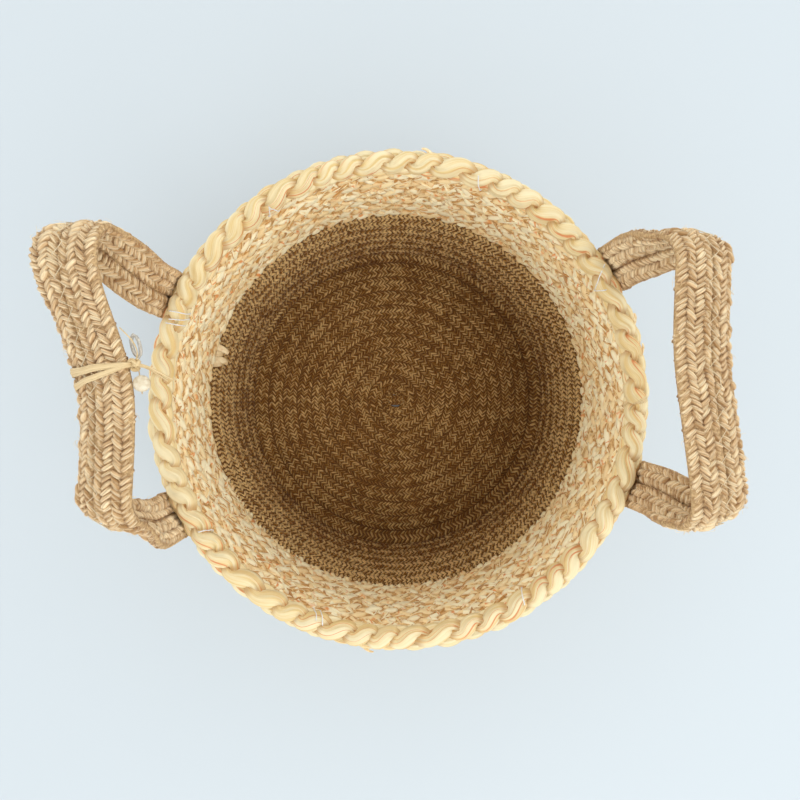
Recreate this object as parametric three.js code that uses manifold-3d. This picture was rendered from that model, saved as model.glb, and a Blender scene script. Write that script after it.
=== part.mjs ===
import * as THREE from 'three';
import { mergeVertices } from 'three/addons/utils/BufferGeometryUtils.js';
import Module from 'manifold-3d';

const wasm = await Module();
wasm.setup();

// Driving dimensions, in millimetres and degrees. Z = 0 is the underside of the basket.

// Body: the floor, the rounded corner and the two bands of the wall share one profile line.
const FLOOR_RADIUS = 105;
const CORNER_RADIUS = 9;
const JUTE_TOP = 78.8;
const JUTE_FLARE = 7;
const HUSK_BAND_HEIGHT = 70.2;
const HUSK_FLARE = 0.4;

// Braids of the body, wound as coils and sewn edge to edge.
const JUTE_BRAID_WIDTH = 10.8;
const JUTE_BRAID_THICKNESS = 4.8;
const HUSK_BRAID_WIDTH = 11.2;
const HUSK_BRAID_THICKNESS = 4.8;
const ROW_GAP = 0.5;
const BRAID_END_WIDTH = 2;
const BRAID_OVERLAP_AT_START = 0.8;
const START_BUTTON_RADIUS = 5.6;
const TURN_STEPS = 30;
const JUTE_SPLIT_BEYOND_FLOOR = 8;
const HUSK_START_TURN = 0.4;

// Rim: three husk strands plaited into a ring that lies on the husk band.
const STRAND_WIDTH = 2.64;
const STRAND_HEIGHT = 3.1;
const STRAND_BULGE = 1.1;
const STRAND_CLEARANCE = 0.4;
const PLAIT_PERIOD_LENGTH = 41.5;
const PLAIT_SWING_RATIO = 1.184;
const PLAIT_RISE_RATIO = 0.84;
const PERIOD_STEPS = 8;
const STRAND_SIDES = 6;
const STRAND_COUNT = 3;

// Handles: two jute braids side by side make one strap.
const STRAP_BRAID_WIDTH = 12.4;
const STRAP_BRAID_THICKNESS = 6;
const STRAP_BRAID_GAP = 0.4;
const STRAP_FLAT_SHARE = 0.6;
const STRAP_EDGE_SHARE = 0.36;
const LEG_SPACING = 116;
const LEG_SEWN_LENGTH = 66;
const LEG_LEAN_LENGTH = 19;
const LEG_LEAN_BELOW_BAND_TOP = 3;
const GRIP_RISE = 67;
const GRIP_LENGTH = 122.5;
const GRIP_CORNER_RADIUS = 14;
const GRIP_CROWN = 2.5;
const HALF_LOOP_STEPS = 22;
const TWIST_BELOW_HINGE = 4;
const LOOP_BELOW_HINGE_END = 1;
const PATH_PROBE = 0.5;
const TWIST_LENGTH = 60;
const FOLD_LENGTH = 24;
const LEG_ABOVE_RIM = 0.5;
const HINGE_SIDE_CLEARANCE = 0.4;
const RIGHT_HANDLE_ANGLE = 6;
const LEFT_HANDLE_ANGLE = 181.2;

// How each soft handle hangs: where the middle of its grip lies from above the hinge line, its
// shift along the rim, how far its corners stand out past that middle, and how far the outer
// braid of its strap folds down.
const RIGHT_GRIP_OUTSET = 1;
const RIGHT_GRIP_SHIFT = 4.2;
const RIGHT_REAR_CORNER_OUTSET = 7;
const RIGHT_FRONT_CORNER_OUTSET = 2;
const RIGHT_BRAID_FOLD = 25;
const LEFT_GRIP_INSET = 1.8;
const LEFT_GRIP_SHIFT = 12.7;
const LEFT_REAR_CORNER_OUTSET = 14;
const LEFT_FRONT_CORNER_OUTSET = 4;
const LEFT_BRAID_FOLD = 35;
const LEFT_REAR_CORNER_FOLD = 8;

// Raffia tie with its bead and thread, on the grip of the left handle.
const TIE_PLACE_ON_GRIP = 0;
const TIE_CORD_RADIUS = 0.9;
const TIE_SLACK = 0.9;
const TIE_SPREAD = 3.2;
const TIE_KNOT_RADIUS = 2.6;
const TIE_TAIL_LENGTH = 12;
const TIE_CORNER_SHARE = 0.6;
const CURLED_END_REACH = 3;
const CURLED_END_RISE = 3.5;
const BEAD_RADIUS = 3.3;
const THREAD_RADIUS = 0.7;
const THREAD_LOOP_LENGTH = 9;
const THREAD_LOOP_WIDTH = 3;

// Neighbouring pieces stand this far apart where they touch on the real basket.
const SEAT_GAP = 0.3;

const TURN = 2 * Math.PI;
const radians = THREE.MathUtils.degToRad;
const { smoothstep, lerp } = THREE.MathUtils;
const STEP_ANGLE = TURN / TURN_STEPS;
const UP = new THREE.Vector3(0, 0, 1);

const juteMaterial = new THREE.MeshStandardMaterial({ color: 0x9a7547, roughness: 0.95, metalness: 0 });
const strapMaterial = new THREE.MeshStandardMaterial({ color: 0xb89564, roughness: 0.95, metalness: 0 });
const huskMaterial = new THREE.MeshStandardMaterial({ color: 0xd9c08c, roughness: 0.8, metalness: 0 });
const plaitMaterial = new THREE.MeshStandardMaterial({ color: 0xf0dfae, roughness: 0.6, metalness: 0 });
const raffiaMaterial = new THREE.MeshStandardMaterial({ color: 0xdcc089, roughness: 0.7, metalness: 0 });
const beadMaterial = new THREE.MeshStandardMaterial({ color: 0xe8ddb8, roughness: 0.4, metalness: 0 });
const threadMaterial = new THREE.MeshStandardMaterial({ color: 0xa59c8c, roughness: 0.9, metalness: 0 });

const basket = new THREE.Group();

function addPiece(name, geometry, material, parent = basket) {
  geometry.computeVertexNormals();
  const piece = new THREE.Mesh(geometry, material);
  piece.name = name;
  parent.add(piece);
  return piece;
}

// A skin through a row of rings, closed by a fan at each end or joined end to end into a loop.
function skin(rings, isLoop = false) {
  const sides = rings[0].length;
  const corners = rings.flat().flatMap((point) => point.toArray());
  const faces = [];
  const spans = isLoop ? rings.length : rings.length - 1;
  for (let span = 0; span < spans; span += 1) {
    const near = span * sides;
    const far = ((span + 1) % rings.length) * sides;
    for (let side = 0; side < sides; side += 1) {
      const next = (side + 1) % sides;
      faces.push(near + side, near + next, far + side);
      faces.push(near + next, far + next, far + side);
    }
  }
  if (!isLoop) {
    const last = (rings.length - 1) * sides;
    for (let side = 1; side < sides - 1; side += 1) {
      faces.push(0, side + 1, side);
      faces.push(last, last + side, last + side + 1);
    }
  }
  const geometry = new THREE.BufferGeometry();
  geometry.setAttribute('position', new THREE.Float32BufferAttribute(corners, 3));
  geometry.setIndex(signedVolume(corners, faces) < 0 ? faces.reverse() : faces);
  return geometry;
}

function signedVolume(corners, faces) {
  const at = (index) => new THREE.Vector3().fromArray(corners, 3 * index);
  let volume = 0;
  for (let face = 0; face < faces.length; face += 3) {
    volume += at(faces[face]).dot(at(faces[face + 1]).cross(at(faces[face + 2]))) / 6;
  }
  return volume;
}

function toSolid(geometry) {
  const bare = geometry.clone();
  bare.deleteAttribute('normal');
  bare.deleteAttribute('uv');
  const merged = mergeVertices(bare);
  const vertProperties = new Float32Array(merged.getAttribute('position').array);
  const triVerts = new Uint32Array(merged.getIndex().array);
  return new wasm.Manifold(new wasm.Mesh({ numProp: 3, vertProperties, triVerts }));
}

function fromSolid(solid) {
  const mesh = solid.getMesh();
  const geometry = new THREE.BufferGeometry();
  geometry.setAttribute('position', new THREE.BufferAttribute(mesh.vertProperties, 3));
  geometry.setIndex(new THREE.BufferAttribute(mesh.triVerts, 1));
  return geometry;
}

// The profile line of the body, half way through the braid: a length along it, from the centre
// of the floor, gives a radius and a height.
const cornerLineRadius = CORNER_RADIUS + JUTE_BRAID_THICKNESS / 2;
const cornerTurn = radians(90 - JUTE_FLARE);
const cornerEnd = FLOOR_RADIUS + cornerLineRadius * cornerTurn;
const wallFoot = new THREE.Vector2(
  FLOOR_RADIUS + cornerLineRadius * Math.sin(cornerTurn),
  JUTE_BRAID_THICKNESS / 2 + cornerLineRadius * (1 - Math.cos(cornerTurn)),
);
const juteEnd = cornerEnd + (JUTE_TOP - wallFoot.y) / Math.cos(radians(JUTE_FLARE));
const huskEnd = juteEnd + HUSK_BAND_HEIGHT;
const juteTopRadius = wallFoot.x + (JUTE_TOP - wallFoot.y) * Math.tan(radians(JUTE_FLARE));
const bandTopRadius = juteTopRadius + HUSK_BAND_HEIGHT * Math.sin(radians(HUSK_FLARE));
const bandTop = JUTE_TOP + HUSK_BAND_HEIGHT * Math.cos(radians(HUSK_FLARE));

function bodyProfile(length) {
  if (length <= FLOOR_RADIUS) {
    return new THREE.Vector2(length, JUTE_BRAID_THICKNESS / 2);
  }
  if (length <= cornerEnd) {
    const turned = (length - FLOOR_RADIUS) / cornerLineRadius;
    return new THREE.Vector2(
      FLOOR_RADIUS + cornerLineRadius * Math.sin(turned),
      JUTE_BRAID_THICKNESS / 2 + cornerLineRadius * (1 - Math.cos(turned)),
    );
  }
  if (length <= juteEnd) {
    const share = (length - cornerEnd) / (juteEnd - cornerEnd);
    return wallFoot.clone().lerp(new THREE.Vector2(juteTopRadius, JUTE_TOP), share);
  }
  const share = (length - juteEnd) / (huskEnd - juteEnd);
  return new THREE.Vector2(lerp(juteTopRadius, bandTopRadius, share), lerp(JUTE_TOP, bandTop, share));
}

// The braid's section between its two edges on the profile line: six-sided, with flat faces and
// thin edges, so that the rows show as rounded ribs. A narrow end is thinner as well.
function braidRing(angle, lowEdge, highEdge, width, thickness) {
  const low = bodyProfile(lowEdge);
  const high = bodyProfile(highEdge);
  const middle = low.clone().add(high).multiplyScalar(0.5);
  const quarter = high.clone().sub(low).multiplyScalar(0.25);
  const fullness = Math.min(1, (2 * (highEdge - lowEdge)) / width);
  const inward = new THREE.Vector2(-quarter.y, quarter.x).setLength((fullness * thickness) / 2);
  const section = [
    low,
    middle.clone().sub(quarter).add(inward),
    middle.clone().add(quarter).add(inward),
    high,
    middle.clone().add(quarter).sub(inward),
    middle.clone().sub(quarter).sub(inward),
  ];
  return section.map(({ x, y }) => new THREE.Vector3(x * Math.cos(angle), x * Math.sin(angle), y));
}

// The least distance between one turn of a coil and the next, measured on the points of its rings.
function leastRowGap(rings) {
  let least = Infinity;
  for (let ring = 0; ring + TURN_STEPS < rings.length; ring += 1) {
    for (const point of rings[ring]) {
      for (const other of rings[ring + TURN_STEPS]) {
        least = Math.min(least, point.distanceTo(other));
      }
    }
  }
  return least;
}

// Jute coil: it starts round a small turned-in end, winds out over the floor, turns the corner
// and climbs the wall. It narrows over its last turn and so ends level under the husk.
const jutePitch = JUTE_BRAID_WIDTH + ROW_GAP;
const juteTurns = (juteEnd - START_BUTTON_RADIUS) / jutePitch;
const juteLevelEdge = juteEnd - ROW_GAP / 2;

function juteOuterEdge(angle) {
  return START_BUTTON_RADIUS + (jutePitch * angle) / TURN;
}

function juteRing(angle) {
  const besideButton = lerp(
    START_BUTTON_RADIUS - BRAID_OVERLAP_AT_START,
    START_BUTTON_RADIUS + ROW_GAP,
    smoothstep(angle, TURN / 4, TURN / 2),
  );
  const low = angle < TURN ? besideButton : juteOuterEdge(angle - TURN) + ROW_GAP;
  const high = Math.min(juteOuterEdge(angle), juteLevelEdge);
  return braidRing(angle, low, high, JUTE_BRAID_WIDTH, JUTE_BRAID_THICKNESS);
}

const juteLastAngle = TURN * (juteTurns + 1 - (BRAID_END_WIDTH + ROW_GAP) / jutePitch);
const juteLastStep = Math.floor(juteLastAngle / STEP_ANGLE);
const floorLength = FLOOR_RADIUS + JUTE_SPLIT_BEYOND_FLOOR;
const splitStep = Math.round((TURN * (floorLength - START_BUTTON_RADIUS)) / jutePitch / STEP_ANGLE);
const splitGapAngle = ROW_GAP / floorLength;

const floorRings = [];
for (let step = 0; step <= splitStep; step += 1) {
  floorRings.push(juteRing(step * STEP_ANGLE));
}
const wallRings = [juteRing(splitStep * STEP_ANGLE + splitGapAngle)];
for (let step = splitStep + 1; step <= juteLastStep; step += 1) {
  wallRings.push(juteRing(step * STEP_ANGLE));
}

const buttonShoulder = START_BUTTON_RADIUS - JUTE_BRAID_WIDTH / 4;
const startButton = new THREE.LatheGeometry([
  new THREE.Vector2(0, 0),
  new THREE.Vector2(buttonShoulder, 0),
  new THREE.Vector2(START_BUTTON_RADIUS, JUTE_BRAID_THICKNESS / 2),
  new THREE.Vector2(buttonShoulder, JUTE_BRAID_THICKNESS),
  new THREE.Vector2(0, JUTE_BRAID_THICKNESS),
], TURN_STEPS / 2).rotateX(Math.PI / 2);
const floorCoil = toSolid(skin(floorRings)).add(toSolid(startButton));
addPiece('jute_floor_coil', fromSolid(floorCoil), juteMaterial);
addPiece('jute_wall_coil', skin(wallRings), juteMaterial);

// Husk coil: six rows of a looser husk braid. Both of its ends narrow, so it starts level on the
// jute and ends level under the rim.
const huskPitch = HUSK_BRAID_WIDTH + ROW_GAP;
const huskLowLevel = juteEnd + ROW_GAP / 2;
const huskStartAngle = HUSK_START_TURN * TURN;

function huskOuterEdge(angle) {
  return huskLowLevel + (huskPitch * (angle - huskStartAngle)) / TURN;
}

function huskRing(angle) {
  const low = Math.max(huskLowLevel, huskOuterEdge(angle - TURN) + ROW_GAP);
  const high = Math.min(huskEnd, huskOuterEdge(angle));
  return braidRing(angle, low, high, HUSK_BRAID_WIDTH, HUSK_BRAID_THICKNESS);
}

const huskTurns = (huskEnd - huskLowLevel) / huskPitch;
const endShare = BRAID_END_WIDTH / huskPitch;
const huskFirstStep = Math.ceil((huskStartAngle + TURN * endShare) / STEP_ANGLE);
const huskLastAngle = huskStartAngle + TURN * (huskTurns + 1 - (BRAID_END_WIDTH + ROW_GAP) / huskPitch);
const huskRings = [];
for (let step = huskFirstStep; step * STEP_ANGLE <= huskLastAngle; step += 1) {
  huskRings.push(huskRing(step * STEP_ANGLE));
}
addPiece('husk_wall_coil', skin(huskRings), huskMaterial);

const rowGaps = [floorRings, wallRings.slice(1), huskRings].map((rings) => leastRowGap(rings).toFixed(2));
console.log(`least gap between turns, in mm: floor ${rowGaps[0]}, wall ${rowGaps[1]}, husk ${rowGaps[2]}`);

// Rim plait: each strand swings from side to side once a period and rises over one neighbour,
// then dips under the other, on each swing. Strands are fuller where they turn at the edges.
const plaitRadius = bandTopRadius;
const plaitPeriods = Math.round((TURN * plaitRadius) / PLAIT_PERIOD_LENGTH);
const plaitSwing = (STRAND_WIDTH + STRAND_CLEARANCE) * PLAIT_SWING_RATIO;
const plaitRise = (STRAND_HEIGHT + STRAND_CLEARANCE) * PLAIT_RISE_RATIO;

function plaitPoint(turned, phase) {
  const swing = TURN * plaitPeriods * turned + phase;
  const radius = plaitRadius + plaitSwing * Math.sin(swing);
  const height = plaitRise * Math.sin(2 * swing);
  return new THREE.Vector3(radius * Math.cos(TURN * turned), radius * Math.sin(TURN * turned), height);
}

function strandRings(strand) {
  const phase = (TURN * strand) / STRAND_COUNT;
  const steps = plaitPeriods * PERIOD_STEPS;
  const halfStep = 0.5 / steps;
  const rings = [];
  for (let step = 0; step < steps; step += 1) {
    const turned = step / steps;
    const centre = plaitPoint(turned, phase);
    const along = plaitPoint(turned + halfStep, phase).sub(plaitPoint(turned - halfStep, phase)).normalize();
    const across = along.clone().cross(UP).normalize();
    const over = across.clone().cross(along);
    const bulge = STRAND_BULGE * Math.sin(TURN * plaitPeriods * turned + phase) ** 2;
    const ring = [];
    for (let side = 0; side < STRAND_SIDES; side += 1) {
      const around = (TURN * (side + 0.5)) / STRAND_SIDES;
      ring.push(centre.clone()
        .addScaledVector(across, (Math.cos(around) * (STRAND_WIDTH + bulge)) / 2)
        .addScaledVector(over, (Math.sin(around) * (STRAND_HEIGHT + bulge)) / 2));
    }
    rings.push(ring);
  }
  return rings;
}

const strands = [];
for (let strand = 0; strand < STRAND_COUNT; strand += 1) {
  strands.push(strandRings(strand));
}
const plaitCorners = strands.flat(2);
const plaitHalfHeight = Math.max(...plaitCorners.map((corner) => Math.abs(corner.z)));
const plaitOuterRadius = Math.max(...plaitCorners.map((corner) => Math.hypot(corner.x, corner.y)));

// The husk band's top edge is a low ridge with as many corners as a turn has steps. This is how
// far above the ridge's top line a point of the plait may lie and still clear its slopes.
function ridgeHeight(point) {
  const angle = Math.atan2(point.y, point.x);
  const fromMiddle = THREE.MathUtils.euclideanModulo(angle, STEP_ANGLE) - STEP_ANGLE / 2;
  const ridgeRadius = (bandTopRadius * Math.cos(STEP_ANGLE / 2)) / Math.cos(fromMiddle);
  const beside = Math.abs(Math.hypot(point.x, point.y) - ridgeRadius);
  const slope = HUSK_BRAID_WIDTH / HUSK_BRAID_THICKNESS / 2;
  return beside < HUSK_BRAID_THICKNESS / 2 + SEAT_GAP ? -slope * Math.max(0, beside - SEAT_GAP) : -Infinity;
}

// The height of the plait's middle over the ridge, with its lowest strand a seat gap from it.
function plaitSeat() {
  let seat = 0;
  for (const rings of strands) {
    rings.forEach((ring, step) => {
      const nextRing = rings[(step + 1) % rings.length];
      ring.forEach((corner, side) => {
        for (const share of [0, 0.25, 0.5, 0.75]) {
          const point = corner.clone().lerp(nextRing[side], share);
          seat = Math.max(seat, ridgeHeight(point) - point.z);
        }
      });
    });
  }
  return seat + SEAT_GAP;
}

const plaitHeight = bandTop + plaitSeat();
const rimTop = plaitHeight + plaitHalfHeight;
strands.forEach((rings, strand) => {
  const geometry = skin(rings, true).translate(0, 0, plaitHeight);
  addPiece(`rim_plait_strand_${strand + 1}`, geometry, plaitMaterial);
});

// Strap braid: an eight-sided flat section, by its places across the braid and above its middle.
const strapSection = [
  [-1, -STRAP_EDGE_SHARE], [-STRAP_FLAT_SHARE, -1], [STRAP_FLAT_SHARE, -1], [1, -STRAP_EDGE_SHARE],
  [1, STRAP_EDGE_SHARE], [STRAP_FLAT_SHARE, 1], [-STRAP_FLAT_SHARE, 1], [-1, STRAP_EDGE_SHARE],
].map(([side, face]) => [(side * STRAP_BRAID_WIDTH) / 2, (face * STRAP_BRAID_THICKNESS) / 2]);

// Sewn legs: they lie flat on the outside of the husk band and lean out to clear the plait.
// They end below the hinge line, under the round lower end of the loop.
const strapPitch = STRAP_BRAID_WIDTH + STRAP_BRAID_GAP;
const bandOuterRadius = Math.max(juteTopRadius, bandTopRadius) + HUSK_BRAID_THICKNESS / 2;
const strapOnBand = bandOuterRadius + SEAT_GAP + STRAP_BRAID_THICKNESS / 2;
const strapPastRim = plaitOuterRadius + SEAT_GAP + STRAP_BRAID_THICKNESS / 2;
const legSpreadAngle = Math.asin(LEG_SPACING / 2 / strapPastRim);
const hingeX = strapPastRim * Math.cos(legSpreadAngle);
const strapReach = strapPitch / 2 + STRAP_BRAID_WIDTH / 2;
const hingeEndRadius = strapReach * Math.sin(legSpreadAngle)
  + (STRAP_BRAID_THICKNESS / 2) * Math.cos(legSpreadAngle) + HINGE_SIDE_CLEARANCE;
const legTop = rimTop + LEG_ABOVE_RIM;
const hingeHeight = legTop + SEAT_GAP + hingeEndRadius;
const legBottom = legTop - LEG_SEWN_LENGTH;
const leanEnd = bandTop - LEG_LEAN_BELOW_BAND_TOP;
const leanStart = leanEnd - LEG_LEAN_LENGTH;

function addLeg(name, angle) {
  const outward = new THREE.Vector3(Math.cos(angle), Math.sin(angle), 0);
  const across = new THREE.Vector3(-Math.sin(angle), Math.cos(angle), 0);
  const heights = [legBottom, leanStart, (leanStart + leanEnd) / 2, leanEnd, legTop];
  const rings = heights.map((height) => {
    const radius = lerp(strapOnBand, strapPastRim, smoothstep(height, leanStart, leanEnd));
    const centre = outward.clone().multiplyScalar(radius).setZ(height);
    return strapSection.map(([inward, above]) => centre.clone()
      .addScaledVector(across, inward)
      .addScaledVector(outward, above));
  });
  addPiece(name, skin(rings), strapMaterial);
}

// Loop: up from the hinge line, round the corner, along the grip and down again. The strap turns
// a quarter twist on each leg, from tangent to the rim to square across it, and so bends over the
// corner like a belt and lies flat along the grip.
const gripHeight = rimTop + GRIP_RISE;
const legY = LEG_SPACING / 2;
const gripY = GRIP_LENGTH / 2;
const cornerY = gripY - GRIP_CORNER_RADIUS;
const cornerZ = gripHeight - GRIP_CORNER_RADIUS;
const loopStart = hingeHeight - hingeEndRadius - LOOP_BELOW_HINGE_END;
const straightLength = cornerZ - loopStart;
const bendLength = (GRIP_CORNER_RADIUS * TURN) / 4;
const bendEnd = straightLength + bendLength;
const halfLoopLength = bendEnd + cornerY;
const twistStart = hingeHeight - loopStart - TWIST_BELOW_HINGE;
const twistEnd = twistStart + TWIST_LENGTH;

// How far a half of the loop has turned from the leg's direction towards the grip's.
function cornerTurned(length) {
  return THREE.MathUtils.clamp((length - straightLength) / GRIP_CORNER_RADIUS, 0, TURN / 4);
}

// Half of the loop's path, by the length from its lower end. Side is 1 or -1 along the rim.
function halfLoopPoint(length, side, bend) {
  const turned = cornerTurned(length);
  const y = cornerY + GRIP_CORNER_RADIUS * Math.cos(turned) - Math.max(0, length - bendEnd);
  const z = cornerZ + GRIP_CORNER_RADIUS * Math.sin(turned) + Math.min(0, length - straightLength);
  const risen = smoothstep(z, hingeHeight, (cornerZ + gripHeight) / 2);
  const alongRim = side * (y + (legY - gripY) * (1 - risen)) + bend.shift * risen;
  const cornerOutset = bend.plusOutset * smoothstep(alongRim, 0, gripY)
    + bend.minusOutset * smoothstep(-alongRim, 0, gripY);
  return new THREE.Vector3(
    hingeX + (bend.outset + cornerOutset) * risen,
    alongRim,
    z - GRIP_CROWN * risen * (y / gripY) ** 2,
  );
}

// The strap's frame at a length along half a loop: along the path, across it towards the inside
// of the basket, and out of the face that shows. The fold is the outer braid's.
function loopFrame(length, side, bend) {
  const ahead = halfLoopPoint(length + PATH_PROBE, side, bend);
  const behind = halfLoopPoint(length - PATH_PROBE, side, bend);
  const along = ahead.sub(behind).multiplyScalar(side).normalize();
  const turned = cornerTurned(length);
  const legFacing = new THREE.Vector3(Math.cos(legSpreadAngle), side * Math.sin(legSpreadAngle), 0);
  const loopFacing = new THREE.Vector3(0, side * Math.cos(turned), Math.sin(turned));
  const facing = legFacing.lerp(loopFacing, smoothstep(length, twistStart, twistEnd));
  const outward = facing.addScaledVector(along, -facing.dot(along)).normalize();
  const across = along.clone().cross(outward);
  const cornerFold = side > 0 ? bend.plusFold : bend.minusFold;
  const fold = lerp(cornerFold, bend.gripFold, smoothstep(length, bendEnd, bendEnd + FOLD_LENGTH))
    * smoothstep(length, twistStart, straightLength);
  return { centre: halfLoopPoint(length, side, bend), along, across, outward, fold: radians(fold) };
}

// A place on the strap's section: inward from the groove between its braids and above their
// middle. On the grip the outer braid folds down about the groove, and stands off by as much as
// its lower edge would turn into the inner braid.
function onStrap(frame, inward, above) {
  const fold = inward < 0 ? frame.fold : 0;
  const edgeRise = STRAP_EDGE_SHARE * (STRAP_BRAID_THICKNESS / 2);
  const reach = inward - edgeRise * Math.tan(fold);
  return frame.centre.clone()
    .addScaledVector(frame.across, reach * Math.cos(fold) - above * Math.sin(fold))
    .addScaledVector(frame.outward, reach * Math.sin(fold) + above * Math.cos(fold));
}

// The rings of one braid of the loop: offset is -1 for the outer braid and 1 for the inner one.
function loopRings(bend, offset) {
  const rings = [];
  for (let step = -HALF_LOOP_STEPS; step <= HALF_LOOP_STEPS; step += 1) {
    const side = step <= 0 ? 1 : -1;
    const length = halfLoopLength * (1 - Math.abs(step) / HALF_LOOP_STEPS);
    const frame = loopFrame(length, side, bend);
    rings.push(strapSection.map(([inward, above]) => (
      onStrap(frame, (offset * strapPitch) / 2 + inward, above))));
  }
  return rings;
}

// Cuts the loop's lower ends to a cylinder about the hinge line, so that they turn in place.
function roundLowerEnds(geometry) {
  const span = LEG_SPACING * 2;
  const slab = new THREE.BoxGeometry(span, span, span).translate(hingeX, 0, hingeHeight - span / 2);
  const barrel = new THREE.CylinderGeometry(hingeEndRadius, hingeEndRadius, 2 * span, 32)
    .translate(hingeX, 0, hingeHeight);
  return fromSolid(toSolid(geometry).subtract(toSolid(slab).subtract(toSolid(barrel))));
}

function addHandle(side, centreAngle, bend) {
  const handle = new THREE.Group();
  handle.rotation.z = centreAngle;
  basket.add(handle);
  for (const [braid, offset] of [['outer', -1], ['inner', 1]]) {
    const geometry = roundLowerEnds(skin(loopRings(bend, offset)));
    addPiece(`${side}_grip_${braid}_braid`, geometry, strapMaterial, handle);
    const braidSpread = (offset * strapPitch) / 2 / strapOnBand;
    const legAngle = legSpreadAngle + braidSpread;
    addLeg(`${side}_leg_a_${braid}_braid`, centreAngle + legAngle);
    addLeg(`${side}_leg_b_${braid}_braid`, centreAngle - legAngle);
  }
  return handle;
}

addHandle('right', radians(RIGHT_HANDLE_ANGLE), {
  outset: RIGHT_GRIP_OUTSET,
  shift: -RIGHT_GRIP_SHIFT,
  plusOutset: RIGHT_REAR_CORNER_OUTSET,
  minusOutset: RIGHT_FRONT_CORNER_OUTSET,
  gripFold: RIGHT_BRAID_FOLD,
  plusFold: RIGHT_BRAID_FOLD,
  minusFold: RIGHT_BRAID_FOLD,
});
const leftBend = {
  outset: -LEFT_GRIP_INSET,
  shift: -LEFT_GRIP_SHIFT,
  plusOutset: LEFT_FRONT_CORNER_OUTSET,
  minusOutset: LEFT_REAR_CORNER_OUTSET,
  gripFold: LEFT_BRAID_FOLD,
  plusFold: LEFT_BRAID_FOLD,
  minusFold: LEFT_REAR_CORNER_FOLD,
};
const leftHandle = addHandle('left', radians(LEFT_HANDLE_ANGLE), leftBend);

// Tie: a raffia cord goes twice round the left grip, the turns apart at the outer edge and drawn
// together in a knot at the inner edge. Two short ends stand off the knot.
const tieLength = halfLoopLength - TIE_PLACE_ON_GRIP;
const wrapReach = strapReach + TIE_SLACK + TIE_CORD_RADIUS;
const wrapRise = STRAP_BRAID_THICKNESS / 2 + TIE_SLACK + TIE_CORD_RADIUS;
const knotReach = strapReach + SEAT_GAP + TIE_KNOT_RADIUS;

// A place beside the grip at the tie: inward from the strap's groove, along it, and above it.
function besideTie(inward, along, above) {
  return onStrap(loopFrame(tieLength - along, -1, leftBend), inward, above);
}

function cordSkin(points, radius, sides, steps, isLoop = false) {
  const path = new THREE.CatmullRomCurve3(points, isLoop, 'centripetal');
  const frames = path.computeFrenetFrames(steps, isLoop);
  const rings = [];
  for (let step = 0; step < steps + (isLoop ? 0 : 1); step += 1) {
    const centre = path.getPointAt(step / steps);
    const ring = [];
    for (let side = 0; side < sides; side += 1) {
      const around = (TURN * side) / sides;
      ring.push(centre.clone()
        .addScaledVector(frames.normals[step], radius * Math.cos(around))
        .addScaledVector(frames.binormals[step], radius * Math.sin(around)));
    }
    rings.push(ring);
  }
  return skin(rings, isLoop);
}

function wrapPoints(spread) {
  const corner = wrapRise * TIE_CORNER_SHARE;
  const ridge = strapPitch / 2 - (STRAP_FLAT_SHARE * STRAP_BRAID_WIDTH) / 2;
  const outline = [
    [wrapReach, 0], [wrapReach - corner, wrapRise], [ridge, wrapRise], [-ridge, wrapRise],
    [corner - wrapReach, wrapRise], [-wrapReach, 0], [corner - wrapReach, -wrapRise],
    [-ridge, -wrapRise], [wrapReach - corner, -wrapRise],
  ];
  return outline.map(([inward, above]) => {
    const apart = (spread * (wrapReach - inward)) / (2 * wrapReach);
    return besideTie(inward, apart, above);
  });
}

const knot = new THREE.SphereGeometry(TIE_KNOT_RADIUS, 8, 6).translate(...besideTie(knotReach, 0, 0));
const tailEnd = [
  besideTie(knotReach, 0, 0),
  besideTie(knotReach + TIE_TAIL_LENGTH / 2, -TIE_TAIL_LENGTH / 5, 1),
  besideTie(knotReach + TIE_TAIL_LENGTH, -TIE_TAIL_LENGTH / 2, -2),
];
const curledEnd = [
  besideTie(knotReach, 0, 0),
  besideTie(knotReach + CURLED_END_REACH, TIE_TAIL_LENGTH / 2, (2 * CURLED_END_RISE) / 3),
  besideTie(knotReach, TIE_TAIL_LENGTH, CURLED_END_RISE),
];
const tie = [
  cordSkin(wrapPoints(TIE_SPREAD), TIE_CORD_RADIUS, 6, 24, true),
  cordSkin(wrapPoints(-TIE_SPREAD), TIE_CORD_RADIUS, 6, 24, true),
  cordSkin(tailEnd, TIE_CORD_RADIUS, 6, 5),
  cordSkin(curledEnd, TIE_CORD_RADIUS, 6, 5),
].reduce((joined, geometry) => joined.add(toSolid(geometry)), toSolid(knot));
addPiece('left_grip_tie', fromSolid(tie), raffiaMaterial, leftHandle);

const beadPlace = besideTie(
  strapReach + SEAT_GAP + BEAD_RADIUS,
  -(TIE_KNOT_RADIUS + SEAT_GAP + BEAD_RADIUS),
  -TIE_CORD_RADIUS,
);
const bead = new THREE.SphereGeometry(BEAD_RADIUS, 12, 8).translate(...beadPlace);
addPiece('left_grip_tie_bead', bead, beadMaterial, leftHandle);

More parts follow.
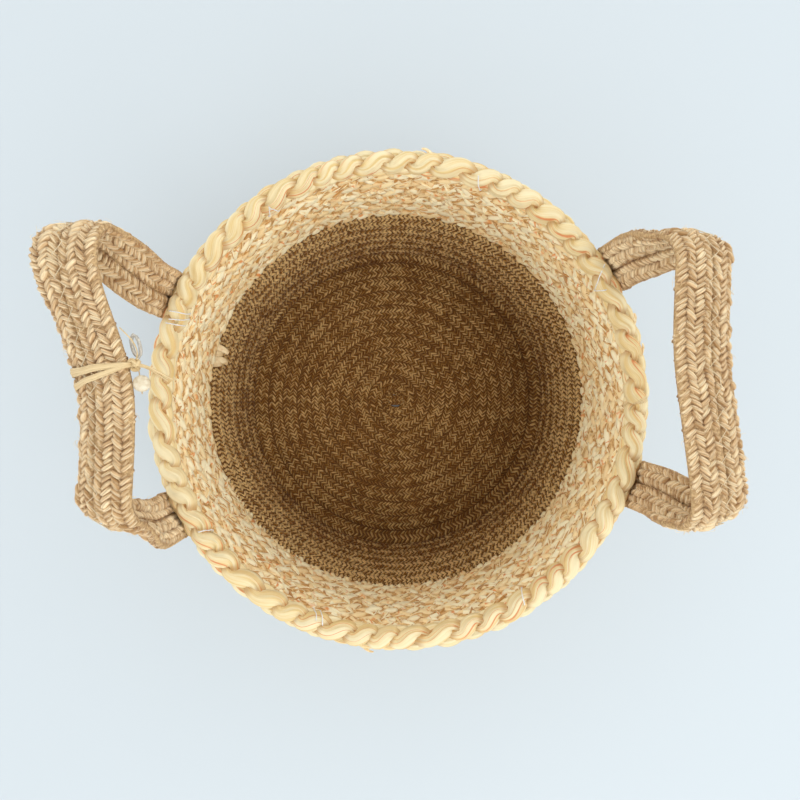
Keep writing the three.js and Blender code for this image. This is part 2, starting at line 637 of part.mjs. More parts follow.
// The thread's loop rests against the knot, below its curled end.
const knotFrame = loopFrame(tieLength, -1, leftBend);
const threadRest = new THREE.Vector3(0.35, 0.75, -0.56)
  .setLength(TIE_KNOT_RADIUS + SEAT_GAP + THREAD_RADIUS);
const threadLoop = [0, 1, 2, 3, 4, 5, 6, 7].map((part) => {
  const around = (TURN * part) / 8;
  const inward = threadRest.x + (THREAD_LOOP_WIDTH / 2) * Math.cos(around);
  const along = threadRest.y + (THREAD_LOOP_LENGTH / 2) * (1 + Math.sin(around));
  return besideTie(knotReach, 0, 0)
    .addScaledVector(knotFrame.across, inward)
    .addScaledVector(knotFrame.along, along)
    .addScaledVector(knotFrame.outward, threadRest.z);
});
const threadSkin = cordSkin(threadLoop, THREAD_RADIUS, 6, 16, true);
addPiece('left_grip_tie_thread', threadSkin, threadMaterial, leftHandle);

export default basket;
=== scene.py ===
import functools
import math

import bmesh
import bpy
from mathutils import Matrix, Vector


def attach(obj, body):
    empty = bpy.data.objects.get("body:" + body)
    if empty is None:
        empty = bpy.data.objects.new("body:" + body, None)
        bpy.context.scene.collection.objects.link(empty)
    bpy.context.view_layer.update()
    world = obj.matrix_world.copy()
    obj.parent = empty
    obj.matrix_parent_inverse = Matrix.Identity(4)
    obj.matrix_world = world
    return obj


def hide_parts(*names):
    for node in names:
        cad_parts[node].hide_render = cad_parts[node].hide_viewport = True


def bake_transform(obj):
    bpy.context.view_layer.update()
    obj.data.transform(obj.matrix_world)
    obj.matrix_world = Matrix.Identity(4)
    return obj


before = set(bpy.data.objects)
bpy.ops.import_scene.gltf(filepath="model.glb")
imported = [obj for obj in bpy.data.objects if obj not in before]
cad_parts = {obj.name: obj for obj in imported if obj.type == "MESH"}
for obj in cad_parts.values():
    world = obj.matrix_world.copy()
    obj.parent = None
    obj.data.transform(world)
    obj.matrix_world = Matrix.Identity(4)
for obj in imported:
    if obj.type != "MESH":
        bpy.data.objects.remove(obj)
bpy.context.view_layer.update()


# The view from straight above, and the plain table and light round the basket.
# The camera stands a little towards the left handle and leans back to centre the rim.
# Table and sky are one pale blue-grey, and the light is broad and soft.
PICTURE_SIDE = 800
FOCAL_LENGTH_PIXELS = 540
SENSOR_WIDTH = 36
CAMERA_PLACE = (-0.0073, 0.0, 0.4368)
CAMERA_LEAN = math.radians(-1.39)
CAMERA_NEAREST = 0.01
TABLE_SIDE = 6.0
TABLE_COLOUR = (0.62, 0.6875, 0.727, 1)
SKY_OVERHEAD = 0.42
SKY_ALL_ROUND = 2.28
SKY_BRIGHT_TO = 0.5
SKY_DIM_FROM = 0.9
LAMP_PLACE = (0.35, -0.35, 1.3)
LAMP_AIM = (0, 0, 0.1)
LAMP_SIDE = 0.9
LAMP_POWER = 4.8


def place(tree, kind, inputs=None, **settings):
    """Adds a node to a tree. Inputs are values or sockets that feed it, by name or place."""
    node = tree.nodes.new(kind)
    for name, value in settings.items():
        setattr(node, name, value)
    for key, value in (inputs or {}).items():
        if isinstance(value, bpy.types.NodeSocket):
            tree.links.new(value, node.inputs[key])
        else:
            node.inputs[key].default_value = value
    return node


def built(tree, kind, inputs=None, **settings):
    """What a new node gives out first."""
    return place(tree, kind, inputs, **settings).outputs[0]


def sums_of(tree):
    """What a tree reckons with: one step of arithmetic, a product and a total."""
    def step(operation, *numbers):
        return built(tree, "ShaderNodeMath", dict(enumerate(numbers)), operation=operation)

    def product(*numbers):
        return functools.reduce(functools.partial(step, "MULTIPLY"), numbers)

    def total(*numbers):
        return functools.reduce(functools.partial(step, "ADD"), numbers)

    return step, product, total


def eased(tree, value, low, high, least=0.0, most=1.0, kind="SMOOTHSTEP"):
    """A value brought from the range between low and high to the one between least and most."""
    numbers = dict(enumerate((value, low, high, least, most)))
    return built(tree, "ShaderNodeMapRange", numbers, interpolation_type=kind)


def parts_of(tree, vector):
    return place(tree, "ShaderNodeSeparateXYZ", {0: vector}).outputs


def new_piece(name, mesh, *materials):
    for material in materials:
        mesh.materials.append(material)
    piece = bpy.data.objects.new(name, mesh)
    bpy.context.scene.collection.objects.link(piece)
    return piece


def new_finish(name, **values):
    """A material whose shader has these values, and its tree of nodes."""
    material = bpy.data.materials.new(name)
    material.use_nodes = True
    tree = material.node_tree
    for socket, value in values.items():
        tree.nodes["Principled BSDF"].inputs[socket.replace("_", " ")].default_value = value
    return material, tree


def stand_camera():
    data = bpy.data.cameras.new("camera_above")
    data.sensor_width = SENSOR_WIDTH
    data.lens = SENSOR_WIDTH * FOCAL_LENGTH_PIXELS / PICTURE_SIDE
    data.clip_start = CAMERA_NEAREST
    camera = new_piece("camera_above", data)
    camera.location = CAMERA_PLACE
    camera.rotation_euler = (0, CAMERA_LEAN, 0)
    bpy.context.scene.camera = camera
    bpy.context.scene.view_settings.view_transform = "Standard"


def lay_table():
    half = TABLE_SIDE / 2
    mesh = bpy.data.meshes.new("table_top")
    corners = [(x, y, 0) for x, y in ((-half, -half), (half, -half), (half, half), (-half, half))]
    mesh.from_pydata(corners, [], [(0, 1, 2, 3)])
    pale = new_finish("pale_table", Base_Color=TABLE_COLOUR, Roughness=0.9, Specular_IOR_Level=0.1)[0]
    new_piece("table_top", mesh, pale)


def light_sky():
    """Light from all round, strongest near the horizon. The camera sees the table's colour instead."""
    world = bpy.data.worlds.new("pale_sky")
    bpy.context.scene.world = world
    world.use_nodes = True
    tree = world.node_tree
    tree.nodes.clear()
    step, product, total = sums_of(tree)
    ray = place(tree, "ShaderNodeLightPath").outputs
    seen = step("MAXIMUM", ray["Is Camera Ray"], ray["Is Glossy Ray"])
    seen = step("MAXIMUM", seen, ray["Is Transmission Ray"])
    way = place(tree, "ShaderNodeTexCoord").outputs["Generated"]
    height = parts_of(tree, way)[2]
    strength = eased(tree, height, SKY_BRIGHT_TO, SKY_DIM_FROM, SKY_ALL_ROUND, SKY_OVERHEAD)
    lit = built(tree, "ShaderNodeBackground", {"Strength": strength})
    shown = built(tree, "ShaderNodeBackground", {"Color": TABLE_COLOUR, "Strength": 1.0})
    mix = built(tree, "ShaderNodeMixShader", {0: seen, 1: lit, 2: shown})
    place(tree, "ShaderNodeOutputWorld", {"Surface": mix})


def hang_lamp():
    """A square lamp that looks at the middle of the basket."""
    data = bpy.data.lights.new("lamp_above", "AREA")
    data.size = LAMP_SIDE
    data.energy = LAMP_POWER
    lamp = new_piece("lamp_above", data)
    lamp.location = LAMP_PLACE
    lamp.rotation_mode = "QUATERNION"
    lamp.rotation_quaternion = (Vector(LAMP_AIM) - Vector(LAMP_PLACE)).to_track_quat("-Z", "Y")


stand_camera()
lay_table()
light_sky()
hang_lamp()


# The jute coil: one flat braid, wound out over the floor and up the lower wall, and sewn edge to edge.
# It is one length, in six pieces here, and its line follows the same profile as the solid coil.
# Every stitch is laid along it. A core inside the braid fills the gaps, coloured darker than the yarn as
# painted shade. Lengths are in millimetres.
MILLIMETRE = 0.001
TURN = 2 * math.pi
FLOOR_RADIUS = 105
CORNER_RADIUS = 9
JUTE_TOP = 78.8
JUTE_FLARE = math.radians(7)
HUSK_BAND_HEIGHT = 70.2
HUSK_FLARE = math.radians(0.4)
JUTE_BRAID_WIDTH = 10.8
BODY_BRAID_THICKNESS = 4.8
ROW_GAP = 0.5
START_BUTTON_RADIUS = 5.6
START_INNER_SHARE = 0.55
START_LENGTH = 9
START_WIDTH = 7.5
BRAID_END_WIDTH = 2
GUIDE_STEP = 5
GUIDE_LEAST_RADIUS = 10
FLOOR_STITCHES = {"Columns": 4, "Pitch": 2.9, "Stagger": 0.0, "Lean": math.radians(50), "Stitch_length": 1.45,
                  "Stitch_width": 2.05, "Stitch_depth": 4.0, "Edge_roll": 0.2, "Edge_drop": 0.15,
                  "Unevenness": 0.3}
WALL_STITCHES = {**FLOOR_STITCHES, "Columns": 3, "Pitch": 3.1, "Lean": math.radians(36), "Stitch_width": 2.2,
                 "Stitch_depth": 4.6, "Edge_roll": 0.3, "Edge_drop": 0.2}
YARN_SWELL = ((-0.5, 0.45, 0.6), (-0.28, 0.92, 0.92), (0.0, 1.0, 1.0), (0.28, 0.92, 0.92), (0.5, 0.45, 0.6))
ABOVE_TABLE = 0.1
CORE_SECTION = ((1, 0), (0.97, 0.6), (0.86, 1), (-0.86, 1), (-0.97, 0.6),
                (-1, 0), (-0.97, -0.6), (-0.86, -1), (0.86, -1), (0.97, -0.6))
# Painted shade on the outside of the wall fades in across this many millimetres either side of its middle
# line.
OUTSIDE_SHADE_FADE = 1.5
STITCHES_APART = 53.0
FIBRES_ALONG = 1.6
PLIES = 4.0
# The coil's jute is darker and browner than the straps': partly its own colour, partly painted shade for the
# inside of the basket.
JUTE_DARK = (0.12, 0.043, 0.005)
JUTE_MIDDLE = (0.335, 0.147, 0.023)
JUTE_LIGHT = (0.86, 0.60, 0.26)
# Painted shade at the stitches' ends and between their plies.
JUTE_PAINTED_SHADE = (0.12, 0.050, 0.010)
# The painted shade that darkens the coil's outer face.
JUTE_OUTSIDE_SHADE = (0.74, 0.73, 0.76)
# Painted shade: the braid's inside is darker than its yarn.
JUTE_SHADED_CORE = ((0.10, 0.042, 0.009), (0.28, 0.13, 0.032))

corner_line_radius = CORNER_RADIUS + BODY_BRAID_THICKNESS / 2
corner_turn = math.pi / 2 - JUTE_FLARE
corner_end = FLOOR_RADIUS + corner_line_radius * corner_turn
wall_foot = Vector((FLOOR_RADIUS + corner_line_radius * math.sin(corner_turn),
                    BODY_BRAID_THICKNESS / 2 + corner_line_radius * (1 - math.cos(corner_turn))))
jute_end = corner_end + (JUTE_TOP - wall_foot.y) / math.cos(JUTE_FLARE)
husk_end = jute_end + HUSK_BAND_HEIGHT
jute_top_radius = wall_foot.x + (JUTE_TOP - wall_foot.y) * math.tan(JUTE_FLARE)
band_top_radius = jute_top_radius + HUSK_BAND_HEIGHT * math.sin(HUSK_FLARE)
band_top = JUTE_TOP + HUSK_BAND_HEIGHT * math.cos(HUSK_FLARE)
jute_pitch = JUTE_BRAID_WIDTH + ROW_GAP
jute_last_turn = (jute_end - START_BUTTON_RADIUS - BRAID_END_WIDTH) / jute_pitch + 1


def body_profile(length):
    """The radius and height, and the slope, of the basket's wall at a length from the middle of the floor."""
    if length <= FLOOR_RADIUS:
        return Vector((length, BODY_BRAID_THICKNESS / 2)), 0.0
    if length <= corner_end:
        turned = (length - FLOOR_RADIUS) / corner_line_radius
        return Vector((FLOOR_RADIUS + corner_line_radius * math.sin(turned),
                       BODY_BRAID_THICKNESS / 2 + corner_line_radius * (1 - math.cos(turned)))), turned
    jute_edge = Vector((jute_top_radius, JUTE_TOP))
    if length <= jute_end:
        share = (length - corner_end) / (jute_end - corner_end)
        return wall_foot.lerp(jute_edge, share), math.pi / 2 - JUTE_FLARE
    share = (length - jute_end) / HUSK_BAND_HEIGHT
    return jute_edge.lerp(Vector((band_top_radius, band_top)), share), math.pi / 2 - HUSK_FLARE


def coil_station(angle, low, high):
    """One station on a coil: its place, the way across the braid and out of its inner face, and its width."""
    point, slope = body_profile((low + high) / 2)
    outward = Vector((math.cos(angle), math.sin(angle), 0))
    up = Vector((0, 0, 1))
    across = outward * math.cos(slope) + up * math.sin(slope)
    facing = up * math.cos(slope) - outward * math.sin(slope)
    return (outward * point.x + up * point.y) * MILLIMETRE, across, facing, (high - low) * MILLIMETRE


def smooth_share(value, start, end):
    share = min(1, max(0, (value - start) / (end - start)))
    return share * share * (3 - 2 * share)


def jute_stations(first_turn, last_turn):
    """Stations along the jute coil between two turns, a guide step apart."""
    start_low = START_BUTTON_RADIUS * START_INNER_SHARE
    stations = []
    angle = first_turn * TURN
    while angle <= last_turn * TURN:
        outer_edge = START_BUTTON_RADIUS + jute_pitch * angle / TURN
        low = outer_edge - jute_pitch + ROW_GAP
        if angle < TURN:
            low = start_low + (START_BUTTON_RADIUS - start_low + ROW_GAP) * smooth_share(angle, 0, TURN / 2)
        high = min(outer_edge, jute_end - ROW_GAP / 2)
        stations.append(coil_station(angle, low, high))
        angle += GUIDE_STEP / max(GUIDE_LEAST_RADIUS, (low + high) / 2)
    return stations


def braid_guide(name, stations):
    """A chain of points that keeps, at each, the way across the braid, the way it faces and its width."""
    mesh = bpy.data.meshes.new(name)
    mesh.from_pydata([station[0] for station in stations], [(n, n + 1) for n in range(len(stations) - 1)], [])
    for kept, column in (("across", 1), ("facing", 2)):
        attribute = mesh.attributes.new(kept, "FLOAT_VECTOR", "POINT")
        attribute.data.foreach_set("vector", [v for station in stations for v in station[column]])
    width = mesh.attributes.new("braid_width", "FLOAT", "POINT")
    width.data.foreach_set("value", [station[3] for station in stations])
    return mesh


def tube_mesh(name, rings, closed=False):
    """A closed skin over rings of points, with u along it and v round it."""
    sides = len(rings[0])
    count = len(rings)
    last = count if closed else count - 1
    faces, marks = [], []
    for ring in range(last):
        for side in range(sides):
            start, ahead, beside = ring * sides, (ring + 1) % count * sides, (side + 1) % sides
            faces.append((start + side, start + beside, ahead + beside, ahead + side))
            marks += [(ring, side), (ring, side + 1), (ring + 1, side + 1), (ring + 1, side)]
    if not closed:
        faces.append(tuple(range(sides - 1, -1, -1)))
        marks += [(0, side) for side in range(sides - 1, -1, -1)]
        faces.append(tuple((count - 1) * sides + side for side in range(sides)))
        marks += [(count - 1, side) for side in range(sides)]
    mesh = bpy.data.meshes.new(name)
    mesh.from_pydata([point for ring in rings for point in ring], [], faces)
    layer = mesh.uv_layers.new(name="UVMap")
    layer.uv.foreach_set("vector", [v for ring, side in marks for v in (ring / last, side / sides)])
    mesh.shade_smooth()
    return mesh


def spindle(name, sides, swell, fullness=1.0, bow=0.0, twist=0.0, ridge=0.0, cup=0.0):
    """One stitch of unit size along X, thick in the middle: swell lists its (place, width, depth)."""
    rings = []
    for share, width, depth in swell:
        turned = twist * share
        ring = []
        for side in range(sides):
            around = TURN * (side + 0.5) / sides
            out = 1 - ridge * (side % 2)
            y = math.cos(around) * out * width / 2
            z = math.copysign(abs(math.sin(around)) ** fullness, math.sin(around)) * out * depth / 2
            z -= cup * (4 * y * y - 0.4)
            ring.append((share, y * math.cos(turned) - z * math.sin(turned) + bow * (4 * share * share - 1),
                         y * math.sin(turned) + z * math.cos(turned)))
        rings.append(ring)
    return tube_mesh(name, rings)


def stitch_shapes(name, sides, swell, fullness=1.0, **bends):
    """A store of like shapes, each bent its own way, that a tree picks from. They aren't in the scene."""
    store = bpy.data.collections.new(name)
    for kind, bend in bends.items():
        shape = f"{name}_{kind}"
        store.objects.link(bpy.data.objects.new(shape, spindle(shape, sides, swell, fullness, **bend)))
    return store


def new_tree(name, kind, given, made):
    """A tree of nodes with named inputs and outputs, and the sockets that its inputs come from."""
    tree = bpy.data.node_groups.new(name, kind)
    for in_out, sockets in (("INPUT", given), ("OUTPUT", made)):
        for socket, socket_kind in sockets.items():
            tree.interface.new_socket(socket, in_out=in_out, socket_type="NodeSocket" + socket_kind)
    return tree, place(tree, "NodeGroupInput").outputs


def vectors_of(tree, operation, *vectors):
    return built(tree, "ShaderNodeVectorMath", dict(enumerate(vectors)), operation=operation)


def scaled(tree, vector, factor):
    return built(tree, "ShaderNodeVectorMath", {0: vector, "Scale": factor}, operation="SCALE")


def combined(tree, *numbers):
    return built(tree, "ShaderNodeCombineXYZ", dict(enumerate(numbers)))


def chance(tree, wanted, salt, low=-0.5, high=0.5):
    """A random number for each point. The salt sets one draw apart from the others."""
    seed = sums_of(tree)[2](wanted["Seed"], salt)
    return place(tree, "FunctionNodeRandomValue", {2: low, 3: high, "Seed": seed},
                 data_type="FLOAT").outputs[1]


def mark_of(tree, name, kind="FLOAT"):
    """What a mesh keeps under a name."""
    return built(tree, "GeometryNodeInputNamedAttribute", {"Name": name}, data_type=kind)


def marked(tree, geometry, name, value, kind="FLOAT", domain="POINT"):
    return built(tree, "GeometryNodeStoreNamedAttribute", {"Geometry": geometry, "Name": name,
                                                           "Value": value}, data_type=kind, domain=domain)


def scattered(tree, points, store, rotation, scale):
    """The store's shapes in turn, one on each point."""
    shapes = built(tree, "GeometryNodeCollectionInfo", {"Collection": store, "Separate Children": True,
                                                        "Reset Children": True})
    return built(tree, "GeometryNodeInstanceOnPoints", {"Points": points, "Instance": shapes, "Scale": scale,
                                                        "Pick Instance": True, "Rotation": rotation})


def moved(tree, geometry, **where):
    return built(tree, "GeometryNodeSetPosition", {"Geometry": geometry, **where})


def finish_tree(tree, geometry, material, on_table=True):
    """Ends a tree: real geometry with a material, pressed flat where it reaches under the table's surface."""
    step, product, total = sums_of(tree)
    real = built(tree, "GeometryNodeRealizeInstances", {0: geometry})
    if on_table:
        parts = parts_of(tree, built(tree, "GeometryNodeInputPosition"))
        height = step("MAXIMUM", parts[2], ABOVE_TABLE * MILLIMETRE)
        real = moved(tree, real, Position=combined(tree, parts[0], parts[1], height))
    dressed = built(tree, "GeometryNodeSetMaterial", {"Geometry": real, "Material": material})
    place(tree, "NodeGroupOutput", {0: dressed})
    return tree


def braiding_tree():
    """Lays stitches in columns along a guide: they lean one way and the other, column by column."""
    numbers = ("Pitch", "Stagger", "Lean", "Stitch length", "Stitch width", "Stitch depth", "Edge roll",
               "Edge drop", "Unevenness")
    tree, wanted = new_tree("braiding", "GeometryNodeTree", {
        "Guide": "Geometry", "Stitch shapes": "Collection", "Columns": "Int",
        **dict.fromkeys(numbers, "Float"), "Seed": "Int", "Yarn": "Material"}, {"Braid": "Geometry"})
    step, product, total = sums_of(tree)
    vectors = functools.partial(vectors_of, tree)

    def swayed(salt, most=wanted["Unevenness"]):
        return product(chance(tree, wanted, salt), most)

    curve = built(tree, "GeometryNodeMeshToCurve", {0: wanted["Guide"]})
    curve = built(tree, "GeometryNodeResampleCurve", {"Curve": curve, "Length": wanted["Pitch"]},
                  mode="LENGTH")
    points = place(tree, "GeometryNodeCurveToPoints", {"Curve": curve}, mode="EVALUATED").outputs["Points"]
    copies = place(tree, "GeometryNodeDuplicateElements", {"Geometry": points, "Amount": wanted["Columns"]},
                   domain="POINT").outputs
    column = copies["Duplicate Index"]
    odd = step("MODULO", column, 2.0)
    share = step("SUBTRACT", step("DIVIDE", product(total(column, 0.5), 2.0), wanted["Columns"]), 1.0)
    off_middle = step("ABSOLUTE", share)
    across = vectors("NORMALIZE", mark_of(tree, "across", "FLOAT_VECTOR"))
    facing = vectors("NORMALIZE", mark_of(tree, "facing", "FLOAT_VECTOR"))
    along = vectors("CROSS_PRODUCT", across, facing)
    width = mark_of(tree, "braid_width")

    at_edge = step("GREATER_THAN", off_middle, step("SUBTRACT", 1.0, step("DIVIDE", 1.5, wanted["Columns"])))
    overhang = product(step("SUBTRACT", wanted["Stitch length"], 1.0), at_edge)
    tuck = step("DIVIDE", product(width, overhang), product(wanted["Columns"], 4.0))
    sideways = step("SUBTRACT", product(width, share, 0.5), product(tuck, step("SIGN", share)))
    forward = total(product(wanted["Pitch"], wanted["Stagger"], odd), product(swayed(1), wanted["Pitch"]))
    sunk = product(swayed(2), wanted["Stitch depth"], 0.5)
    offset = vectors("ADD", scaled(tree, across, sideways),
                     vectors("ADD", scaled(tree, along, forward), scaled(tree, facing, sunk)))

    lean = product(step("SUBTRACT", 1.0, product(odd, 2.0)), total(wanted["Lean"], swayed(3)))
    heading = vectors("ADD", scaled(tree, across, step("COSINE", lean)),
                      scaled(tree, along, step("SINE", lean)))
    roll = total(product(wanted["Edge roll"], product(share, off_middle)), swayed(4))
    turn = built(tree, "FunctionNodeAxesToRotation", {
        "Primary Axis": vectors("ADD", facing, scaled(tree, across, roll)), "Secondary Axis": heading},
        primary_axis="Z", secondary_axis="X")
    column_width = step("DIVIDE", width, product(wanted["Columns"], step("COSINE", wanted["Lean"])))
    kept_length = step("SUBTRACT", wanted["Stitch length"], product(overhang, 0.5))
    vary = product(wanted["Unevenness"], 0.6)
    drop = product(wanted["Edge drop"], step("POWER", off_middle, 4.0))
    size = combined(tree, product(column_width, kept_length, total(1.0, swayed(5, vary))),
                    product(wanted["Stitch width"], total(1.0, swayed(6, vary))),
                    product(wanted["Stitch depth"], step("SUBTRACT", 1.0, drop)))
    spread = moved(tree, copies["Geometry"], Offset=offset)
    stitches = scattered(tree, spread, wanted["Stitch shapes"], turn, size)
    toned = marked(tree, stitches, "tone", chance(tree, wanted, 7, 0.0, 1.0), domain="INSTANCE")
    return finish_tree(tree, toned, wanted["Yarn"])


def grow(name, source_mesh, tree, **values):
    """Runs a tree of nodes on a mesh and keeps what it makes as a plain mesh of its own."""
    source = new_piece(name + "_guide", source_mesh)
    modifier = source.modifiers.new("nodes", "NODES")
    modifier.node_group = tree
    sockets = {item.name: item.identifier for item in tree.interface.items_tree if item.in_out == "INPUT"}
    for socket, value in values.items():
        modifier[sockets[socket.replace("_", " ")]] = value
    depsgraph = bpy.context.evaluated_depsgraph_get()
    mesh = bpy.data.meshes.new_from_object(source.evaluated_get(depsgraph), preserve_all_data_layers=True,
                                           depsgraph=depsgraph)
    mesh.name = name
    bpy.data.objects.remove(source)
    return new_piece(name, mesh)


BRAIDING = braiding_tree()


def lay_braid(name, stations, stitches, shapes, yarn, seed):
    """Lays one length of braid over its stations. Its stitches' pitch, width and depth are in millimetres."""
    in_millimetres = ("Pitch", "Stitch_width", "Stitch_depth")
    sizes = {**stitches, **{size: stitches[size] * MILLIMETRE for size in in_millimetres}}
    return grow(name, braid_guide(name, stations), BRAIDING, Stitch_shapes=shapes, Yarn=yarn, Seed=seed,
                **sizes)


def fill_braid(name, stations, width_share, thickness_share, thickness, material):
    """The inside of a braid, a flat box along it that fills the gaps between its stitches. Its material is
    darker than the yarn: painted shade.
    """
    rise = thickness * thickness_share * MILLIMETRE / 2
    rings = [[centre + across * (width * width_share / 2 * side) + facing * (rise * face)
              for side, face in CORE_SECTION] for centre, across, facing, width in stations]
    return new_piece(name, tube_mesh(name, rings), material)


def noise(tree, spot, scale, detail):
    return built(tree, "ShaderNodeTexNoise", {"Vector": spot, "Scale": scale, "Detail": detail})


def tones(tree, share, first, last, *between):
    """Colours along a share, each given as its place and its colour."""
    ramp = place(tree, "ShaderNodeValToRGB", {0: share})
    for element, (at, colour) in zip(ramp.color_ramp.elements, (first, last)):
        element.position = at
        element.color = (*colour, 1)
    for at, colour in between:
        ramp.color_ramp.elements.new(at).color = (*colour, 1)
    return ramp.outputs[0]


def dyed(tree, share, colour, dye, blend_type="MIX"):
    return place(tree, "ShaderNodeMix", {0: share, 6: colour, 7: (*dye, 1)}, data_type="RGBA",
                 blend_type=blend_type).outputs[2]


def cover(tree, colour, relief=None, strength=0.0, depth=0.0):
    """Gives a material its colour, and its fine relief as a bump of some depth in millimetres."""
    shader = tree.nodes["Principled BSDF"]
    tree.links.new(colour, shader.inputs["Base Color"])
    if relief:
        bump = built(tree, "ShaderNodeBump", {"Strength": strength, "Distance": depth * MILLIMETRE,
                                              "Height": relief})
        tree.links.new(bump, shader.inputs["Normal"])


def fibre_streaks():
    """Fine streaks along a stitch: fibres side by side, different on each stitch."""
    tree, wanted = new_tree("fibre streaks", "ShaderNodeTree",
                            dict.fromkeys(("Fibres along", "Fibres round", "Twist", "Plies"), "Float"),
                            dict.fromkeys(("Streak", "Ends", "Furrow", "Tone", "Crest"), "Float"))
    step, product, total = sums_of(tree)
    tone = place(tree, "ShaderNodeAttribute", attribute_name="tone").outputs["Fac"]
    spot = built(tree, "ShaderNodeUVMap", uv_map="UVMap")
    parts = parts_of(tree, spot)
    twisted = step("MULTIPLY_ADD", parts[0], wanted["Twist"], parts[1])
    where = combined(tree, product(parts[0], wanted["Fibres along"]),
                     product(twisted, wanted["Fibres round"]), product(tone, STITCHES_APART))
    streak = built(tree, "ShaderNodeTexNoise", {"Vector": where, "Scale": 1.0, "Detail": 3.0,
                                                "Roughness": 0.6})
    # Ends, Furrow and Crest are masks that the materials use for painted shade at a stitch's ends, between
    # its plies and at its sides, and for a painted highlight along its crests.
    ends = eased(tree, step("ABSOLUTE", step("SUBTRACT", parts[0], 0.5)), 0.18, 0.5)
    furrow = eased(tree, step("PINGPONG", product(twisted, wanted["Plies"]), 0.5), 0.2, 0.02, most=0.75)
    crest = step("MULTIPLY_ADD", step("COSINE", product(parts[1], 2 * TURN)), -0.5, 0.5)
    place(tree, "NodeGroupOutput", dict(enumerate((streak, ends, furrow, tone, crest))))
    return tree


def paint_outside_shade(tree, colour, top, flare, tone):
    """Paints shade on what lies outside the wall's middle line, so the outer face is darker than the inner
    one. Its upper end is top, a radius and a height.
    """
    step, product, total = sums_of(tree)
    spot = place(tree, "ShaderNodeTexCoord").outputs["Object"]
    height = parts_of(tree, spot)[2]
    flat = vectors_of(tree, "MULTIPLY", spot, (1, 1, 0))
    radius = place(tree, "ShaderNodeVectorMath", {0: flat}, operation="LENGTH").outputs["Value"]
    past = step("MULTIPLY_ADD", height, -math.tan(flare), radius)
    middle = top[0] - top[1] * math.tan(flare)
    fade = [(middle + way) * MILLIMETRE for way in (-OUTSIDE_SHADE_FADE, OUTSIDE_SHADE_FADE)]
    return dyed(tree, eased(tree, past, *fade, kind="LINEAR"), colour, tone, "MULTIPLY")


FIBRE_STREAKS = fibre_streaks()


def fibres_of(tree, fibres_round, twist):
    return place(tree, "ShaderNodeGroup", {"Fibres along": FIBRES_ALONG, "Fibres round": fibres_round,
                                           "Twist": twist, "Plies": PLIES}, node_tree=FIBRE_STREAKS).outputs


def jute_yarn(name, dark, middle, light, painted_shade_colour, outer_shade_tone, patch_scale, painted_light_upwards):
    """Matt jute: fibres twisted along each stitch and tone from stitch to stitch. Painted shade at each
    stitch's ends, in its furrows and on the outside of the wall, and painted light along its crests and
    higher up the wall.
    """
    material, tree = new_finish(name, Roughness=0.95, Specular_IOR_Level=0.15, Sheen_Weight=0.15)
    step, product, total = sums_of(tree)
    fibres = fibres_of(tree, fibres_round=16.0, twist=0.1)
    spot = place(tree, "ShaderNodeTexCoord").outputs["Object"]
    mixed = step("MULTIPLY_ADD", noise(tree, spot, patch_scale, 3.0), 0.4, -0.66)
    # The Crest share paints a highlight along each stitch's crests and shade at its sides.
    for output, share in (("Streak", 1.1), ("Tone", 0.4), ("Crest", 0.45)):
        mixed = step("MULTIPLY_ADD", fibres[output], share, mixed)
    height = parts_of(tree, spot)[2]
    # Painted light: the jute grows lighter with height above the table, standing for the wall getting more
    # light than the floor.
    mixed = step("MULTIPLY_ADD", height, painted_light_upwards, mixed)
    colour = tones(tree, mixed, (0.2, dark), (0.85, light), (0.52, middle))
    # Painted shade: each stitch's ends, where it tucks under its neighbours, and the furrows between its
    # plies take the shade colour.
    depth = step("MULTIPLY_ADD", fibres["Ends"], 0.55, product(fibres["Furrow"], 0.35))
    colour = dyed(tree, depth, colour, painted_shade_colour)
    relief = step("MULTIPLY_ADD", fibres["Furrow"], -1.2, fibres["Streak"])
    colour = paint_outside_shade(tree, colour, (jute_top_radius, JUTE_TOP), JUTE_FLARE, outer_shade_tone)
    cover(tree, colour, relief, strength=0.8, depth=0.4)
    return material


def braid_inside(name, dark, light, scale):
    """A mottled matt finish. As the inside of a braid, seen between its stitches, it is darker than the yarn:
    painted shade.
    """
    material, tree = new_finish(name, Roughness=0.95)
    mottle = noise(tree, place(tree, "ShaderNodeTexCoord").outputs["Object"], scale, 2.0)
    cover(tree, tones(tree, mottle, (0.3, dark), (0.7, light)))
    return material


jute_coil_yarn = jute_yarn("jute_coil_yarn", JUTE_DARK, JUTE_MIDDLE, JUTE_LIGHT, JUTE_PAINTED_SHADE, JUTE_OUTSIDE_SHADE,
                           patch_scale=40.0, painted_light_upwards=4.2)
jute_shaded_core = braid_inside("jute_shaded_core", *JUTE_SHADED_CORE, scale=900.0)
yarn_stitches = stitch_shapes("yarn_stitch", 6, YARN_SWELL, plain={}, bowed={"bow": 0.08},
                              turned={"bow": -0.07, "twist": 0.25})
start_stations = []
for share in (-0.5, -0.25, 0, 0.25, 0.5):
    point = Vector((START_LENGTH * share, 0, BODY_BRAID_THICKNESS / 2)) * MILLIMETRE
    start_stations.append((point, Vector((0, 1, 0)), Vector((0, 0, 1)), START_WIDTH * MILLIMETRE))
JUTE_RUNS = {"jute_floor_braid_inner": (0, 6.6), "jute_floor_braid_outer": (6.6, 9.7),
             "jute_wall_braid_lower": (9.7, 12), "jute_wall_braid_middle": (12, 14.2),
             "jute_wall_braid_upper": (14.2, jute_last_turn)}
runs = {piece_name: jute_stations(*turns) for piece_name, turns in JUTE_RUNS.items()}
runs["jute_floor_braid_start"] = start_stations
